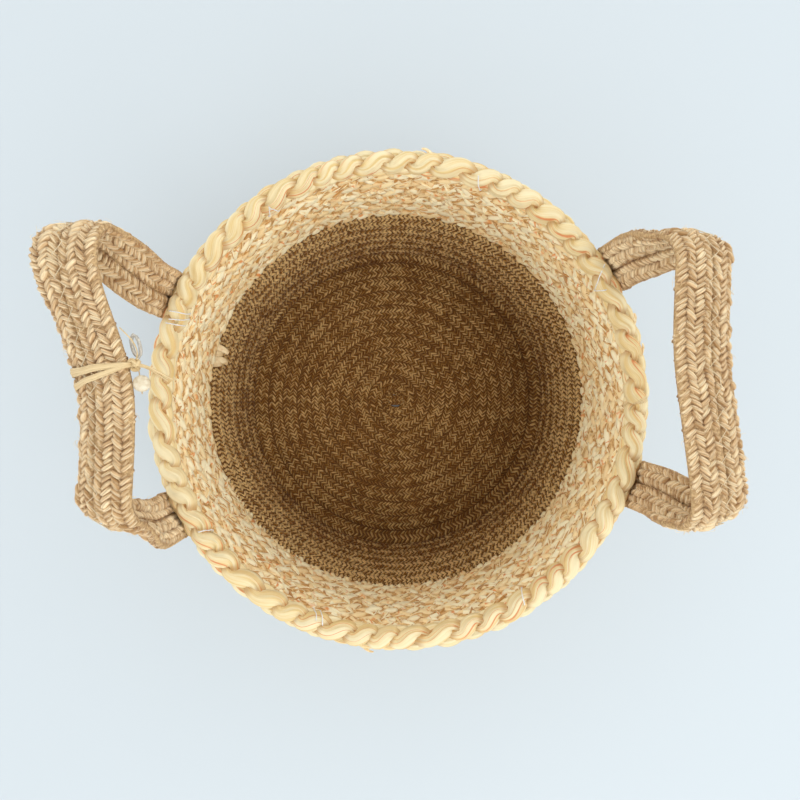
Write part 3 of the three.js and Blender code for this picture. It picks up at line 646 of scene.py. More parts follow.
for number, (piece_name, stations) in enumerate(runs.items()):
    on_floor = "floor" in piece_name
    braid = lay_braid(piece_name, stations, FLOOR_STITCHES if on_floor else WALL_STITCHES, yarn_stitches,
                      jute_coil_yarn, 11 + number)
    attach(braid, "root")
    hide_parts("jute_floor_coil" if on_floor else "jute_wall_coil")
for piece_name, stations, width_share, thickness_share in (
        ("jute_braid_core", jute_stations(0, jute_last_turn), 1.14, 0.45),
        ("jute_start_core", start_stations, 1.1, 0.4)):
    inside = fill_braid(piece_name, stations, width_share, thickness_share, BODY_BRAID_THICKNESS, jute_shaded_core)
    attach(inside, "root")


# The husk band: a looser braid of split corn husk, wound six times round on top of the jute.
# Broad leaves cup over each other in two columns, with thin torn strips between them.
# They are pale straw with reddish edges. Painted shade darkens each strip's sides and ends, and the outside
# of the basket.
HUSK_BRAID_WIDTH = 11.2
HUSK_START_TURN = 0.4
CORE_WIDTH_SHARE = 1.06
CORE_THICKNESS_SHARE = 0.5
BAND_LEAVES = {"Columns": 2, "Pitch": 5.6, "Stagger": 0.5, "Lean": math.radians(50), "Stitch_length": 1.5,
               "Stitch_width": 6.6, "Stitch_depth": 3.4, "Edge_roll": 0.2, "Edge_drop": 0.15,
               "Unevenness": 0.42}
THIN_STRIPS = {**BAND_LEAVES, "Columns": 3, "Pitch": 6.4, "Stitch_length": 1.7, "Stitch_width": 1.1,
               "Stitch_depth": 5.0, "Unevenness": 0.9}
STRIP_SWELL = ((-0.5, 0.2, 0.4), (-0.36, 0.7, 0.75), (-0.12, 1.0, 1.0), (0.12, 1.0, 1.0), (0.36, 0.7, 0.75),
               (0.5, 0.2, 0.4))
LEAF_SWELL = ((-0.5, 0.15, 0.3), (-0.4, 0.6, 0.8), (-0.18, 1.0, 1.0), (0.1, 0.95, 1.0), (0.36, 0.6, 0.8),
              (0.5, 0.12, 0.3))
HUSK_STRAW = (0.98, 0.80, 0.46)
HUSK_CREAM = (1.0, 0.92, 0.65)
HUSK_SHADOW = (0.93, 0.70, 0.38)
THIN_HUSK_SHADOW = (0.48, 0.22, 0.06)
HUSK_RED = (0.82, 0.36, 0.12)
# Painted shade at the strips' sides and ends.
HUSK_PAINTED_SHADE = (0.58, 0.29, 0.07)
# The painted shade that darkens the band's outer face.
HUSK_OUTSIDE_SHADE = (0.72, 0.69, 0.64)
# Painted shade: the braid's inside is darker than its husk.
HUSK_SHADED_CORE = ((0.48, 0.23, 0.06), (0.95, 0.70, 0.34))

husk_pitch = HUSK_BRAID_WIDTH + ROW_GAP
husk_first_turn = HUSK_START_TURN + BRAID_END_WIDTH / husk_pitch
husk_last_turn = (HUSK_START_TURN + HUSK_BAND_HEIGHT / husk_pitch + 1
                  - (BRAID_END_WIDTH + ROW_GAP) / husk_pitch)
husk_middle_turn = (husk_first_turn + husk_last_turn) / 2


def husk_stations(first_turn, last_turn):
    """Stations along the husk coil between two turns."""
    low_level = jute_end + ROW_GAP / 2
    stations = []
    angle = first_turn * TURN
    while angle <= last_turn * TURN:
        outer_edge = low_level + husk_pitch * (angle / TURN - HUSK_START_TURN)
        low = max(low_level, outer_edge - husk_pitch + ROW_GAP)
        stations.append(coil_station(angle, low, min(husk_end, outer_edge)))
        angle += GUIDE_STEP / band_top_radius
    return stations


def husk_leaf(name, shadow, red_share, line_width):
    """Corn husk: satin, with fine ribs along each strip, tone from strip to strip and red-orange edges,
    painted shade at each strip's sides and ends, and painted shade on the outside.
    """
    material, tree = new_finish(name, Roughness=0.6, Specular_IOR_Level=0.35)
    step, product, total = sums_of(tree)
    fibres = fibres_of(tree, fibres_round=18.0, twist=0.0)
    mixed = step("MULTIPLY_ADD", fibres["Streak"], 0.7, fibres["Tone"])
    colour = tones(tree, mixed, (0.3, shadow), (1.0, HUSK_CREAM), (0.62, HUSK_STRAW))
    spot = built(tree, "ShaderNodeUVMap", uv_map="UVMap")
    parts = parts_of(tree, spot)
    edge = noise(tree, combined(tree, parts[0], parts[1], product(fibres["Tone"], 31.0)), 2.2, 0.0)
    edge = step("ABSOLUTE", step("SUBTRACT", edge, 0.5))
    line = eased(tree, edge, line_width, line_width * 0.35, kind="LINEAR")
    chosen = noise(tree, place(tree, "ShaderNodeTexCoord").outputs["Object"], 170.0, 1.0)
    chosen = eased(tree, chosen, 1.0 - red_share, 1.1 - red_share, kind="LINEAR")
    colour = dyed(tree, product(line, chosen), colour, HUSK_RED)
    # Painted shade: each strip darkens towards its sides, away from its crest, and towards its ends.
    depth = product(step("POWER", step("SUBTRACT", 1.0, fibres["Crest"]), 5.0), 0.95)
    colour = dyed(tree, step("MULTIPLY_ADD", fibres["Ends"], 0.4, depth), colour, HUSK_PAINTED_SHADE)
    colour = paint_outside_shade(tree, colour, (band_top_radius, band_top), HUSK_FLARE, HUSK_OUTSIDE_SHADE)
    cover(tree, colour, fibres["Streak"], strength=0.5, depth=0.3)
    return material


husk_band_leaf = husk_leaf("husk_band_leaf", HUSK_SHADOW, red_share=0.45, line_width=0.07)
# The thin strips' darkest tone, THIN_HUSK_SHADOW, is painted shade: dark strips stand for the crevices
# between the leaves.
husk_thin_leaf = husk_leaf("husk_thin_leaf", THIN_HUSK_SHADOW, red_share=0.32, line_width=0.1)
husk_strips = stitch_shapes("husk_strip", 6, STRIP_SWELL, bowed={"bow": 0.35, "twist": 0.3, "ridge": 0.2},
                            turned={"bow": -0.35, "twist": -0.5, "ridge": 0.25},
                            plain={"bow": -0.1, "ridge": 0.12})
husk_petals = stitch_shapes("husk_petal", 10, LEAF_SWELL, domed={"bow": 0.12, "cup": 0.9, "twist": 0.25},
                            bowed={"bow": -0.2, "cup": 0.6, "twist": -0.35, "ridge": 0.1},
                            cupped={"bow": 0.2, "cup": -0.5, "twist": 0.2},
                            folded={"bow": -0.1, "cup": 0.4, "twist": 0.7, "ridge": 0.16})
HUSK_LAYERS = (
    ("husk_band_braid_lower", husk_first_turn, husk_middle_turn, BAND_LEAVES, husk_petals, husk_band_leaf),
    ("husk_band_braid_upper", husk_middle_turn, husk_last_turn, BAND_LEAVES, husk_petals, husk_band_leaf),
    ("husk_band_thin_strips", husk_first_turn, husk_last_turn, THIN_STRIPS, husk_strips, husk_thin_leaf),
)
for number, (piece_name, first_turn, last_turn, leaves, shapes, leaf) in enumerate(HUSK_LAYERS):
    braid = lay_braid(piece_name, husk_stations(first_turn, last_turn), leaves, shapes, leaf, 31 + number)
    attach(braid, "root")
    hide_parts("husk_wall_coil")
husk_inside = fill_braid("husk_braid_core", husk_stations(husk_first_turn, husk_last_turn), CORE_WIDTH_SHARE,
                         CORE_THICKNESS_SHARE, BODY_BRAID_THICKNESS,
                         braid_inside("husk_shaded_core", *HUSK_SHADED_CORE, scale=500.0))
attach(husk_inside, "root")


# The rim: three strands of the smoothest, palest husk, plaited round the top edge of the band.
# Each strand swings from side to side and passes over one neighbour and under the other.
# A plain ring inside the plait, coloured darker than the husk as painted shade, fills the gaps between the
# strands.
RIM_STRANDS = 3
RIM_PLAIT_PERIODS = 19
RIM_STEPS_PER_PERIOD = 28
RIM_SECTION_SIDES = 28
RIM_MIDDLE_ABOVE_BAND = 3.84
RIM_FORM = {"Roll": math.radians(-58), "Flatness": 0.6, "Straightness": 0.9, "Leafiness": 0.36, "Folds": 7,
            "Fold_depth": 0.15}
RIM_SLOW_BEAT = 7.0
RIM_SLOW_LAG = 0.3
RIM_QUICK_BEAT = 16.0
RIM_QUICK_LAG = 0.22
RIM_QUICK_START = 1.3
RIM_TILT = 0.4
RIM_THINNEST = 0.72
RIM_LUMP_STRETCH = 0.8
RIM_LUMP_SCALE = 1.6
RIM_LUMP_HEIGHT = 0.3
RIM_CORE_RADIUS = 3.2
RIM_CORE_SIDES = 8
RIM_CORE_STEPS = RIM_PLAIT_PERIODS * 8
RIM_STRAW = (0.75, 0.55, 0.24)
RIM_CREAM = (0.84, 0.73, 0.46)
RIM_ORANGE = (0.70, 0.28, 0.11)
# Painted shade where the strands cross.
RIM_PAINTED_SHADE = (0.44, 0.21, 0.06)
# Painted shade: the plait's inside is darker than its husk.
RIM_SHADED_CORE = ((0.34, 0.15, 0.045), (0.66, 0.40, 0.16))
rim_middle = band_top + RIM_MIDDLE_ABOVE_BAND
RIM_SIZES = {"Rim_radius": band_top_radius, "Rim_height": rim_middle, "Swing": 1.9, "Rise": 2.4,
             "Strand_width": 9.0, "Strand_height": 7.2}


def plaiting_tree():
    """Carries one strand round the rim in a closed ring, with husk folds along it."""
    counts = ("Periods", "Folds", "Steps", "Sides")
    numbers = ("Rim radius", "Rim height", "Phase", "Roll", "Swing", "Rise", "Flatness", "Straightness",
               "Leafiness", "Strand width", "Strand height", "Fold depth", "Seed")
    tree, wanted = new_tree("plaiting", "GeometryNodeTree", {
        "Guide": "Geometry", **dict.fromkeys(counts, "Int"), **dict.fromkeys(numbers, "Float"),
        "Husk": "Material"}, {"Strand": "Geometry"})
    step, product, total = sums_of(tree)

    def sine(angle):
        return step("SINE", angle)

    def cosine(angle):
        return step("COSINE", angle)

    index = built(tree, "GeometryNodeInputIndex")
    angle = product(step("DIVIDE", index, wanted["Steps"]), TURN)
    quick = product(sine(step("MULTIPLY_ADD", angle, RIM_QUICK_BEAT, RIM_QUICK_START)), RIM_QUICK_LAG)
    hurried = step("MULTIPLY_ADD", sine(product(angle, RIM_SLOW_BEAT)), RIM_SLOW_LAG, quick)
    swing = total(product(angle, wanted["Periods"]), wanted["Phase"], hurried)
    side = step("DIVIDE", step("ARCSINE", product(sine(swing), wanted["Straightness"])),
                step("ARCSINE", wanted["Straightness"]))
    swung = product(wanted["Swing"], side)
    lifted = product(wanted["Rise"], sine(product(swing, 2.0)))
    inward = step("SUBTRACT", product(swung, cosine(wanted["Roll"])), product(lifted, sine(wanted["Roll"])))
    upward = total(product(swung, sine(wanted["Roll"])), product(lifted, cosine(wanted["Roll"])))
    radius = total(wanted["Rim radius"], inward)
    at = combined(tree, product(radius, cosine(angle)), product(radius, sine(angle)),
                  total(wanted["Rim height"], upward))
    ring = built(tree, "GeometryNodeCurvePrimitiveCircle", {"Resolution": wanted["Steps"]})
    ring = marked(tree, moved(tree, ring, Position=at), "lobe", step("DIVIDE", swing, math.pi))
    ring = built(tree, "GeometryNodeSetCurveNormal", {"Curve": ring}, mode="Z_UP")
    tilt = total(product(side, RIM_TILT), wanted["Roll"])
    ring = built(tree, "GeometryNodeSetCurveTilt", {"Curve": ring, "Tilt": tilt})
    off_middle = step("POWER", step("ABSOLUTE", side), 3.0)
    fuller = step("MULTIPLY_ADD", off_middle, wanted["Leafiness"], RIM_THINNEST)
    uneven = sine(total(product(angle, 23.0), product(wanted["Phase"], 3.7)))
    fuller = product(fuller, step("MULTIPLY_ADD", uneven, 0.08, 0.98))

    around = product(step("DIVIDE", index, wanted["Sides"]), TURN)
    folded = step("MULTIPLY_ADD", around, step("DIVIDE", wanted["Folds"], 2.0), wanted["Seed"])
    crease = step("POWER", step("SUBTRACT", 1.0, step("ABSOLUTE", sine(folded))), 2.0)
    fold = step("SUBTRACT", 1.0, product(crease, wanted["Fold depth"]))

    def flattened(share, size):
        share = product(step("SIGN", share), step("POWER", step("ABSOLUTE", share), wanted["Flatness"]))
        return product(share, product(size, 0.5), fold)

    outline = combined(tree, flattened(cosine(around), wanted["Strand width"]),
                       flattened(sine(around), wanted["Strand height"]))
    section = built(tree, "GeometryNodeCurvePrimitiveCircle", {"Resolution": wanted["Sides"]})
    section = marked(tree, moved(tree, section, Position=outline), "husk_round",
                     combined(tree, cosine(around), sine(around)), "FLOAT_VECTOR")
    strand = built(tree, "GeometryNodeCurveToMesh", {"Curve": ring, "Profile Curve": section,
                                                     "Scale": fuller})

    run = total(product(mark_of(tree, "lobe"), RIM_LUMP_STRETCH), wanted["Seed"])
    spot = mark_of(tree, "husk_round", "FLOAT_VECTOR")
    where = vectors_of(tree, "ADD", combined(tree, 0.0, 0.0, run), spot)
    lump = step("SUBTRACT", noise(tree, where, RIM_LUMP_SCALE, 2.0), 0.5)
    push = product(lump, product(wanted["Strand height"], RIM_LUMP_HEIGHT))
    normal = built(tree, "GeometryNodeInputNormal")
    strand = moved(tree, strand, Offset=scaled(tree, normal, push))
    smooth = built(tree, "GeometryNodeSetShadeSmooth", {"Geometry": strand})
    return finish_tree(tree, smooth, wanted["Husk"], on_table=False)


def rim_husk():
    """The smooth pale husk of the rim: ribbed along the strand, with thin orange edges of leaf and painted
    shade where the strands cross.
    """
    material, tree = new_finish("rim_husk", Roughness=0.6, Specular_IOR_Level=0.25)
    step, product, total = sums_of(tree)
    lobe = place(tree, "ShaderNodeAttribute", attribute_name="lobe").outputs["Fac"]
    husk_round = place(tree, "ShaderNodeAttribute", attribute_name="husk_round").outputs["Vector"]

    def pattern(stretch, scale, salt, detail):
        run = combined(tree, 0.0, 0.0, step("MULTIPLY_ADD", lobe, stretch, salt))
        return noise(tree, vectors_of(tree, "ADD", husk_round, run), scale, detail)

    ribs = pattern(0.12, 9.0, 3.0, 3.0)
    mixed = step("MULTIPLY_ADD", ribs, 0.7, pattern(0.9, 1.3, 17.0, 1.0))
    colour = tones(tree, mixed, (0.66, RIM_STRAW), (0.98, RIM_CREAM))
    edge = step("ABSOLUTE", step("SUBTRACT", pattern(0.35, 1.5, 41.0, 0.0), 0.5))
    chosen = eased(tree, pattern(0.7, 1.1, 71.0, 0.0), 0.46, 0.56, kind="LINEAR")
    colour = dyed(tree, product(eased(tree, edge, 0.03, 0.012, kind="LINEAR"), chosen), colour, RIM_ORANGE)
    # Painted shade: the husk darkens where the strands cross in the middle of the plait.
    crossing = step("ABSOLUTE", step("SUBTRACT", step("FRACT", lobe), 0.5))
    colour = dyed(tree, eased(tree, crossing, 0.27, 0.42, most=0.6), colour, RIM_PAINTED_SHADE)
    cover(tree, colour, ribs, strength=0.6, depth=0.4)
    return material


rim_husk_leaf = rim_husk()
PLAITING = plaiting_tree()
for number in range(RIM_STRANDS):
    piece_name = f"rim_husk_strand_{number + 1}"
    strand = grow(piece_name, bpy.data.meshes.new(piece_name), PLAITING, **RIM_FORM,
                  **{size: value * MILLIMETRE for size, value in RIM_SIZES.items()},
                  Periods=RIM_PLAIT_PERIODS, Steps=RIM_PLAIT_PERIODS * RIM_STEPS_PER_PERIOD,
                  Sides=RIM_SECTION_SIDES, Phase=TURN * number / RIM_STRANDS, Seed=7.0 * number,
                  Husk=rim_husk_leaf)
    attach(strand, "root")
    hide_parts(f"rim_plait_strand_{number + 1}")
rim_core_rings = []
for number in range(RIM_CORE_STEPS):
    outward = Vector((math.cos(TURN * number / RIM_CORE_STEPS), math.sin(TURN * number / RIM_CORE_STEPS), 0))
    ring = []
    for side in range(RIM_CORE_SIDES):
        around = TURN * side / RIM_CORE_SIDES
        ring.append((outward * (band_top_radius + RIM_CORE_RADIUS * math.cos(around))
                     + Vector((0, 0, rim_middle + RIM_CORE_RADIUS * math.sin(around)))) * MILLIMETRE)
    rim_core_rings.append(ring)
rim_core = new_piece("rim_plait_core", tube_mesh("rim_plait_core", rim_core_rings, closed=True),
                     braid_inside("rim_shaded_core", *RIM_SHADED_CORE, scale=400.0))
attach(rim_core, "root")


# The handles: each is a strap of two thick jute braids side by side. It is sewn to the outside
# of the husk band, stands up from the rim, twists and turns flat along the grip.
# The outer braid is folded down along the grip. Where the strap bends at the rim it is soft.
STRAP_BRAID_WIDTH = 12.4
STRAP_BRAID_THICKNESS = 6
STRAP_BRAID_GAP = 0.4
STRAP_GROOVE_OUTSET = 1.4
STRAP_STITCHED_SHARE = 0.98
STRAP_EDGE_SHARE = 0.36
STRAP_STITCHES = {"Pitch": 2.3, "Stagger": 0.0, "Lean": math.radians(43), "Stitch_length": 1.22,
                  "Stitch_width": 1.95, "Stitch_depth": STRAP_BRAID_THICKNESS, "Edge_roll": 0.6,
                  "Edge_drop": 0.7, "Unevenness": 0.42}
STRAP_BRAIDS = (("outer", -1, 3), ("inner", 1, 4))
STRAP_SWELL = ((-0.5, 0.55, 0.6), (-0.38, 0.9, 0.84), (-0.14, 1.0, 1.0), (0.14, 1.0, 1.0), (0.38, 0.9, 0.84),
               (0.5, 0.55, 0.6))
LEG_SPACING = 116
LEG_SEWN_LENGTH = 66
LEG_LEAN_LENGTH = 19
LEG_LEAN_BELOW_BAND_TOP = 3
LEG_STATIONS_BELOW_TOP = 2
GRIP_RISE = 67
GRIP_LENGTH = 122.5
GRIP_CORNER_RADIUS = 14
GRIP_CROWN = 2.5
TWIST_BELOW_HINGE = 4
LOOP_BELOW_HINGE_END = 1
TWIST_LENGTH = 60
FOLD_LENGTH = 24
PATH_PROBE = 0.5
SEAT_GAP = 0.3
PLAIT_OUTER_RADIUS = 130.177
RIM_TOP = 157.599
LEG_ABOVE_RIM = 0.5
HINGE_SIDE_CLEARANCE = 0.4
LEG_STEPS = 16
LOOP_STEPS = 64
RIGHT_HANDLE = {"body": "right_handle", "angle": math.radians(6), "outset": 1, "shift": -4.2,
                "corner_outset": {1: 7, -1: 2}, "grip_fold": 25, "corner_fold": {1: 25, -1: 25}}
LEFT_HANDLE = {"body": "left_handle", "angle": math.radians(181.2), "outset": -1.8, "shift": -12.7,
               "corner_outset": {1: 4, -1: 14}, "grip_fold": 35, "corner_fold": {1: 35, -1: 8}}
STRAP_DARK = (0.40, 0.235, 0.10)
STRAP_MIDDLE = (0.68, 0.475, 0.26)
STRAP_LIGHT = (0.88, 0.715, 0.45)
# Painted shade at the stitches' ends and between their plies.
STRAP_PAINTED_SHADE = (0.27, 0.13, 0.05)
# Painted shade: the braid's inside is darker than its yarn.
STRAP_SHADED_CORE = ((0.30, 0.175, 0.07), (0.62, 0.43, 0.22))
# The straps get no painted shade on their outside.
NO_OUTSIDE_SHADE = (1.0, 1.0, 1.0)

strap_pitch = STRAP_BRAID_WIDTH + STRAP_BRAID_GAP
strap_reach = strap_pitch / 2 + STRAP_BRAID_WIDTH / 2
strap_on_band = band_top_radius + BODY_BRAID_THICKNESS / 2 + SEAT_GAP + STRAP_BRAID_THICKNESS / 2
strap_past_rim = PLAIT_OUTER_RADIUS + SEAT_GAP + STRAP_BRAID_THICKNESS / 2
leg_spread = math.asin(LEG_SPACING / 2 / strap_past_rim)
hinge_x = strap_past_rim * math.cos(leg_spread)
hinge_end_radius = (strap_reach * math.sin(leg_spread) + STRAP_BRAID_THICKNESS / 2 * math.cos(leg_spread)
                    + HINGE_SIDE_CLEARANCE)
leg_top = RIM_TOP + LEG_ABOVE_RIM
hinge_height = leg_top + SEAT_GAP + hinge_end_radius
leg_bottom = leg_top - LEG_SEWN_LENGTH
lean_end = band_top - LEG_LEAN_BELOW_BAND_TOP
lean_start = lean_end - LEG_LEAN_LENGTH
leg_y = LEG_SPACING / 2
grip_y = GRIP_LENGTH / 2
grip_height = RIM_TOP + GRIP_RISE
corner_y = grip_y - GRIP_CORNER_RADIUS
corner_z = grip_height - GRIP_CORNER_RADIUS
loop_start = hinge_height - hinge_end_radius - LOOP_BELOW_HINGE_END
straight_length = corner_z - loop_start
bend_end = straight_length + GRIP_CORNER_RADIUS * TURN / 4
half_loop_length = bend_end + corner_y
twist_start = hinge_height - loop_start - TWIST_BELOW_HINGE


def corner_turned(length):
    return min(TURN / 4, max(0, (length - straight_length) / GRIP_CORNER_RADIUS))


def half_loop_point(length, side, handle):
    """A point of half of the loop's middle line, by its length from the lower end."""
    turned = corner_turned(length)
    y = corner_y + GRIP_CORNER_RADIUS * math.cos(turned) - max(0, length - bend_end)
    z = corner_z + GRIP_CORNER_RADIUS * math.sin(turned) + min(0, length - straight_length)
    risen = smooth_share(z, hinge_height, (corner_z + grip_height) / 2)
    along_rim = side * (y + (leg_y - grip_y) * (1 - risen)) + handle["shift"] * risen
    outset = (handle["outset"] + handle["corner_outset"][1] * smooth_share(along_rim, 0, grip_y)
              + handle["corner_outset"][-1] * smooth_share(-along_rim, 0, grip_y))
    return Vector((hinge_x + outset * risen, along_rim, z - GRIP_CROWN * risen * (y / grip_y) ** 2))


def loop_frame(length, side, handle):
    """The middle line's place, its direction, the way across the strap to the inside, its face and fold."""
    ahead = half_loop_point(length + PATH_PROBE, side, handle)
    behind = half_loop_point(length - PATH_PROBE, side, handle)
    along = ((ahead - behind) * side).normalized()
    turned = corner_turned(length)
    leg_facing = Vector((math.cos(leg_spread), side * math.sin(leg_spread), 0))
    loop_facing = Vector((0, side * math.cos(turned), math.sin(turned)))
    facing = leg_facing.lerp(loop_facing, smooth_share(length, twist_start, twist_start + TWIST_LENGTH))
    outward = (facing - along * facing.dot(along)).normalized()
    corner_fold = handle["corner_fold"][side]
    on_grip = smooth_share(length, bend_end, bend_end + FOLD_LENGTH)
    fold = corner_fold + (handle["grip_fold"] - corner_fold) * on_grip
    fold *= smooth_share(length, twist_start, straight_length)
    return half_loop_point(length, side, handle), along, along.cross(outward), outward, math.radians(fold)


def on_strap(frame_there, inward, above):
    """A place on the strap: inward from its groove, and above its middle. The outer braid is folded down."""
    centre, _, across, outward, fold = frame_there
    fold = fold if inward < 0 else 0
    reach = inward - STRAP_EDGE_SHARE * STRAP_BRAID_THICKNESS / 2 * math.tan(fold)
    return (centre + across * (reach * math.cos(fold) - above * math.sin(fold))
            + outward * (reach * math.sin(fold) + above * math.cos(fold)))


def strap_stations(handle, offset, width):
    """Stations along one strap braid, from the foot of one leg over the grip to the foot of the other."""
    inward = offset * strap_pitch / 2 - STRAP_GROOVE_OUTSET / 2
    loop_from = hinge_height - loop_start
    last_leg_z = leg_top - LEG_STATIONS_BELOW_TOP
    stations = []
    for side in (1, -1):
        half = []
        spread = leg_spread + inward / strap_on_band
        direction = Vector((math.cos(spread), side * math.sin(spread), 0))
        for number in range(LEG_STEPS + 1):
            z = leg_bottom + (last_leg_z - leg_bottom) * number / LEG_STEPS
            radius = strap_on_band + (strap_past_rim - strap_on_band) * smooth_share(z, lean_start, lean_end)
            centre = direction * radius + Vector((0, 0, z))
            half.append((centre, Vector((0, 0, side)).cross(direction), direction))
        for number in range(LOOP_STEPS + 1):
            length = loop_from + (half_loop_length - loop_from) * number / LOOP_STEPS
            frame_there = loop_frame(length, side, handle)
            across, outward, fold = frame_there[2:]
            fold = fold if offset < 0 else 0
            half.append((on_strap(frame_there, inward, 0), across * math.cos(fold) + outward * math.sin(fold),
                         outward * math.cos(fold) - across * math.sin(fold)))
        stations += half if side == 1 else half[-2::-1]
    turned = Matrix.Rotation(handle["angle"], 3, "Z")
    return [(turned @ centre * MILLIMETRE, turned @ across, turned @ facing, width * MILLIMETRE)
            for centre, across, facing in stations]


def bend_at_rim(piece):
    """Bakes the piece's placing into its mesh."""
    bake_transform(piece)


strap_yarn = jute_yarn("strap_yarn", STRAP_DARK, STRAP_MIDDLE, STRAP_LIGHT, STRAP_PAINTED_SHADE, NO_OUTSIDE_SHADE,
                       patch_scale=60.0, painted_light_upwards=0.0)
strap_shaded_core = braid_inside("strap_shaded_core", *STRAP_SHADED_CORE, scale=900.0)
strap_stitches = stitch_shapes("strap_stitch", 8, STRAP_SWELL, 0.45, plain={}, bowed={"bow": 0.07},
                               turned={"bow": -0.06, "twist": 0.2})
for handle in (RIGHT_HANDLE, LEFT_HANDLE):
    side_name = handle["body"].split("_")[0]
    for braid_name, offset, columns in STRAP_BRAIDS:
        piece_name = f"{side_name}_strap_{braid_name}_braid"
        width = STRAP_BRAID_WIDTH + offset * STRAP_GROOVE_OUTSET
        strap = lay_braid(piece_name, strap_stations(handle, offset, width * STRAP_STITCHED_SHARE),
                          {**STRAP_STITCHES, "Columns": columns}, strap_stitches, strap_yarn, 51 + offset)
        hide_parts(f"{side_name}_grip_{braid_name}_braid", f"{side_name}_leg_a_{braid_name}_braid",
                    f"{side_name}_leg_b_{braid_name}_braid")
        inside = fill_braid(piece_name + "_core", strap_stations(handle, offset, width), CORE_WIDTH_SHARE,
                            CORE_THICKNESS_SHARE, STRAP_BRAID_THICKNESS, strap_shaded_core)
        for piece in (strap, inside):
            bend_at_rim(piece)


# The raffia tie on the left handle: flat strands wound round the strap and knotted on its inner side.
# A wooden bead hangs on the knot, and a loop of grey thread beside it. The strands' ends stand out.
TIE_STRANDS = ((-3.9, 3.3), (-2.7, 3.5), (2.3, 3.3), (3.5, 3.5), (4.6, 3.3))
RAFFIA_WIDTH = 1.7
RAFFIA_THICKNESS = 0.45
RAFFIA_SIDES = 8
RAFFIA_CREASE = 0.3
KNOT_INWARD = strap_reach + 2.9
KNOT_SIZE = 0.72
KNOT_STEPS = 48
KNOT_BULGE = 1.4
KNOT_TURNS = (Matrix.Rotation(math.radians(90), 3, "Y"), Matrix.Rotation(math.radians(65), 3, "X"))
PATH_STEPS = 8
TIE_ENDS = (
    (((0, 0, 0.6), (3.4, -1.2, 1.4), (7, -3, 0.9), (12.4, -6.4, -2.2)), 1.5),
    (((0, -0.6, 0), (3.2, -1.4, 0.6), (6.4, -3.4, 0.1), (10.6, -6.6, -1.6)), 1.2),
    (((0, 0.4, 0), (2.6, 3, 1.4), (2.6, 7, 2.6), (0, 12.4, 3.5)), 0.8),
    (((0, -0.5, -0.2), (0.6, -2.4, -0.6), (0.4, -4, -0.9), (0.4, -9.4, -0.9)), 0.8),
)
RAFFIA_COLOURS = ((0.56, 0.38, 0.17), (0.76, 0.60, 0.34))
BEAD_COLOURS = ((0.60, 0.49, 0.31), (0.76, 0.69, 0.53))
GREY_THREAD_COLOURS = ((0.30, 0.28, 0.24), (0.62, 0.58, 0.50))
left_turn = Matrix.Rotation(LEFT_HANDLE["angle"], 3, "Z")
tie_along = left_turn @ loop_frame(half_loop_length, -1, LEFT_HANDLE)[1]


def tie_place(inward, along, above):
    """A place beside the strap at the tie, in metres, in the frame of the basket."""
    frame_there = loop_frame(half_loop_length - along, -1, LEFT_HANDLE)
    return left_turn @ on_strap(frame_there, inward, above) * MILLIMETRE


def smooth_path(corners):
    """A rounded line through corners."""
    path = []
    for n in range(len(corners) - 1):
        before, first = corners[max(n - 1, 0)], corners[n]
        second, after = corners[n + 1], corners[min(n + 2, len(corners) - 1)]
        for number in range(PATH_STEPS):
            share = number / PATH_STEPS
            path.append((first * 2 + (second - before) * share
                         + (before * 2 - first * 5 + second * 4 - after) * share ** 2
                         + (first * 3 - before - second * 3 + after) * share ** 3) * 0.5)
    return path + [corners[-1]]


def flat_strand(name, path, flat, width, thickness, end_width=1, closed=False):
    """A flat strand along a path. Its broad side lies along the flat direction."""
    rings = []
    for n, point in enumerate(path):
        ahead = (path[min(n + 1, len(path) - 1)] - path[max(n - 1, 0)]).normalized()
        broad = flat - ahead * flat.dot(ahead)
        broad = broad.normalized() if broad.length > 0.2 else ahead.orthogonal().normalized()
        thin = ahead.cross(broad)
        size = 1 + (end_width - 1) * n / (len(path) - 1)
        ring = []
        for side in range(RAFFIA_SIDES):
            around = TURN * side / RAFFIA_SIDES
            crease = 1 - RAFFIA_CREASE * (side % 2)
            ring.append(point + (broad * (math.cos(around) * width * size)
                                 + thin * (math.sin(around) * thickness * crease)) * MILLIMETRE / 2)
        rings.append(ring)
    return tube_mesh(name, rings, closed)


def gathered(name, meshes, material):
    """Several meshes as one piece."""
    whole = bmesh.new()
    for mesh in meshes:
        whole.from_mesh(mesh)
    mesh = bpy.data.meshes.new(name)
    whole.to_mesh(mesh)
    whole.free()
    return new_piece(name, mesh, material)


def raffia():
    """Split palm leaf: glossy straw with long darker and lighter streaks."""
    material, tree = new_finish("raffia", Roughness=0.5, Specular_IOR_Level=0.35)
    spot = built(tree, "ShaderNodeUVMap", uv_map="UVMap")
    streak = noise(tree, vectors_of(tree, "MULTIPLY", spot, (3.0, 22.0, 1.0)), 1.0, 3.0)
    colour = tones(tree, streak, (0.32, RAFFIA_COLOURS[0]), (0.62, RAFFIA_COLOURS[1]))
    cover(tree, colour, streak, strength=0.5, depth=0.3)
    return material


def streaked_finish(name, dark, light, scale, stretch, roughness):
    """Turned wood or twisted thread: faint bands along the piece."""
    material, tree = new_finish(name, Roughness=roughness)
    spot = place(tree, "ShaderNodeTexCoord").outputs["Object"]
    bands = noise(tree, vectors_of(tree, "MULTIPLY", spot, stretch), scale, 3.0)
    cover(tree, tones(tree, bands, (0.3, dark), (0.65, light)), bands, strength=0.3, depth=0.2)
    return material


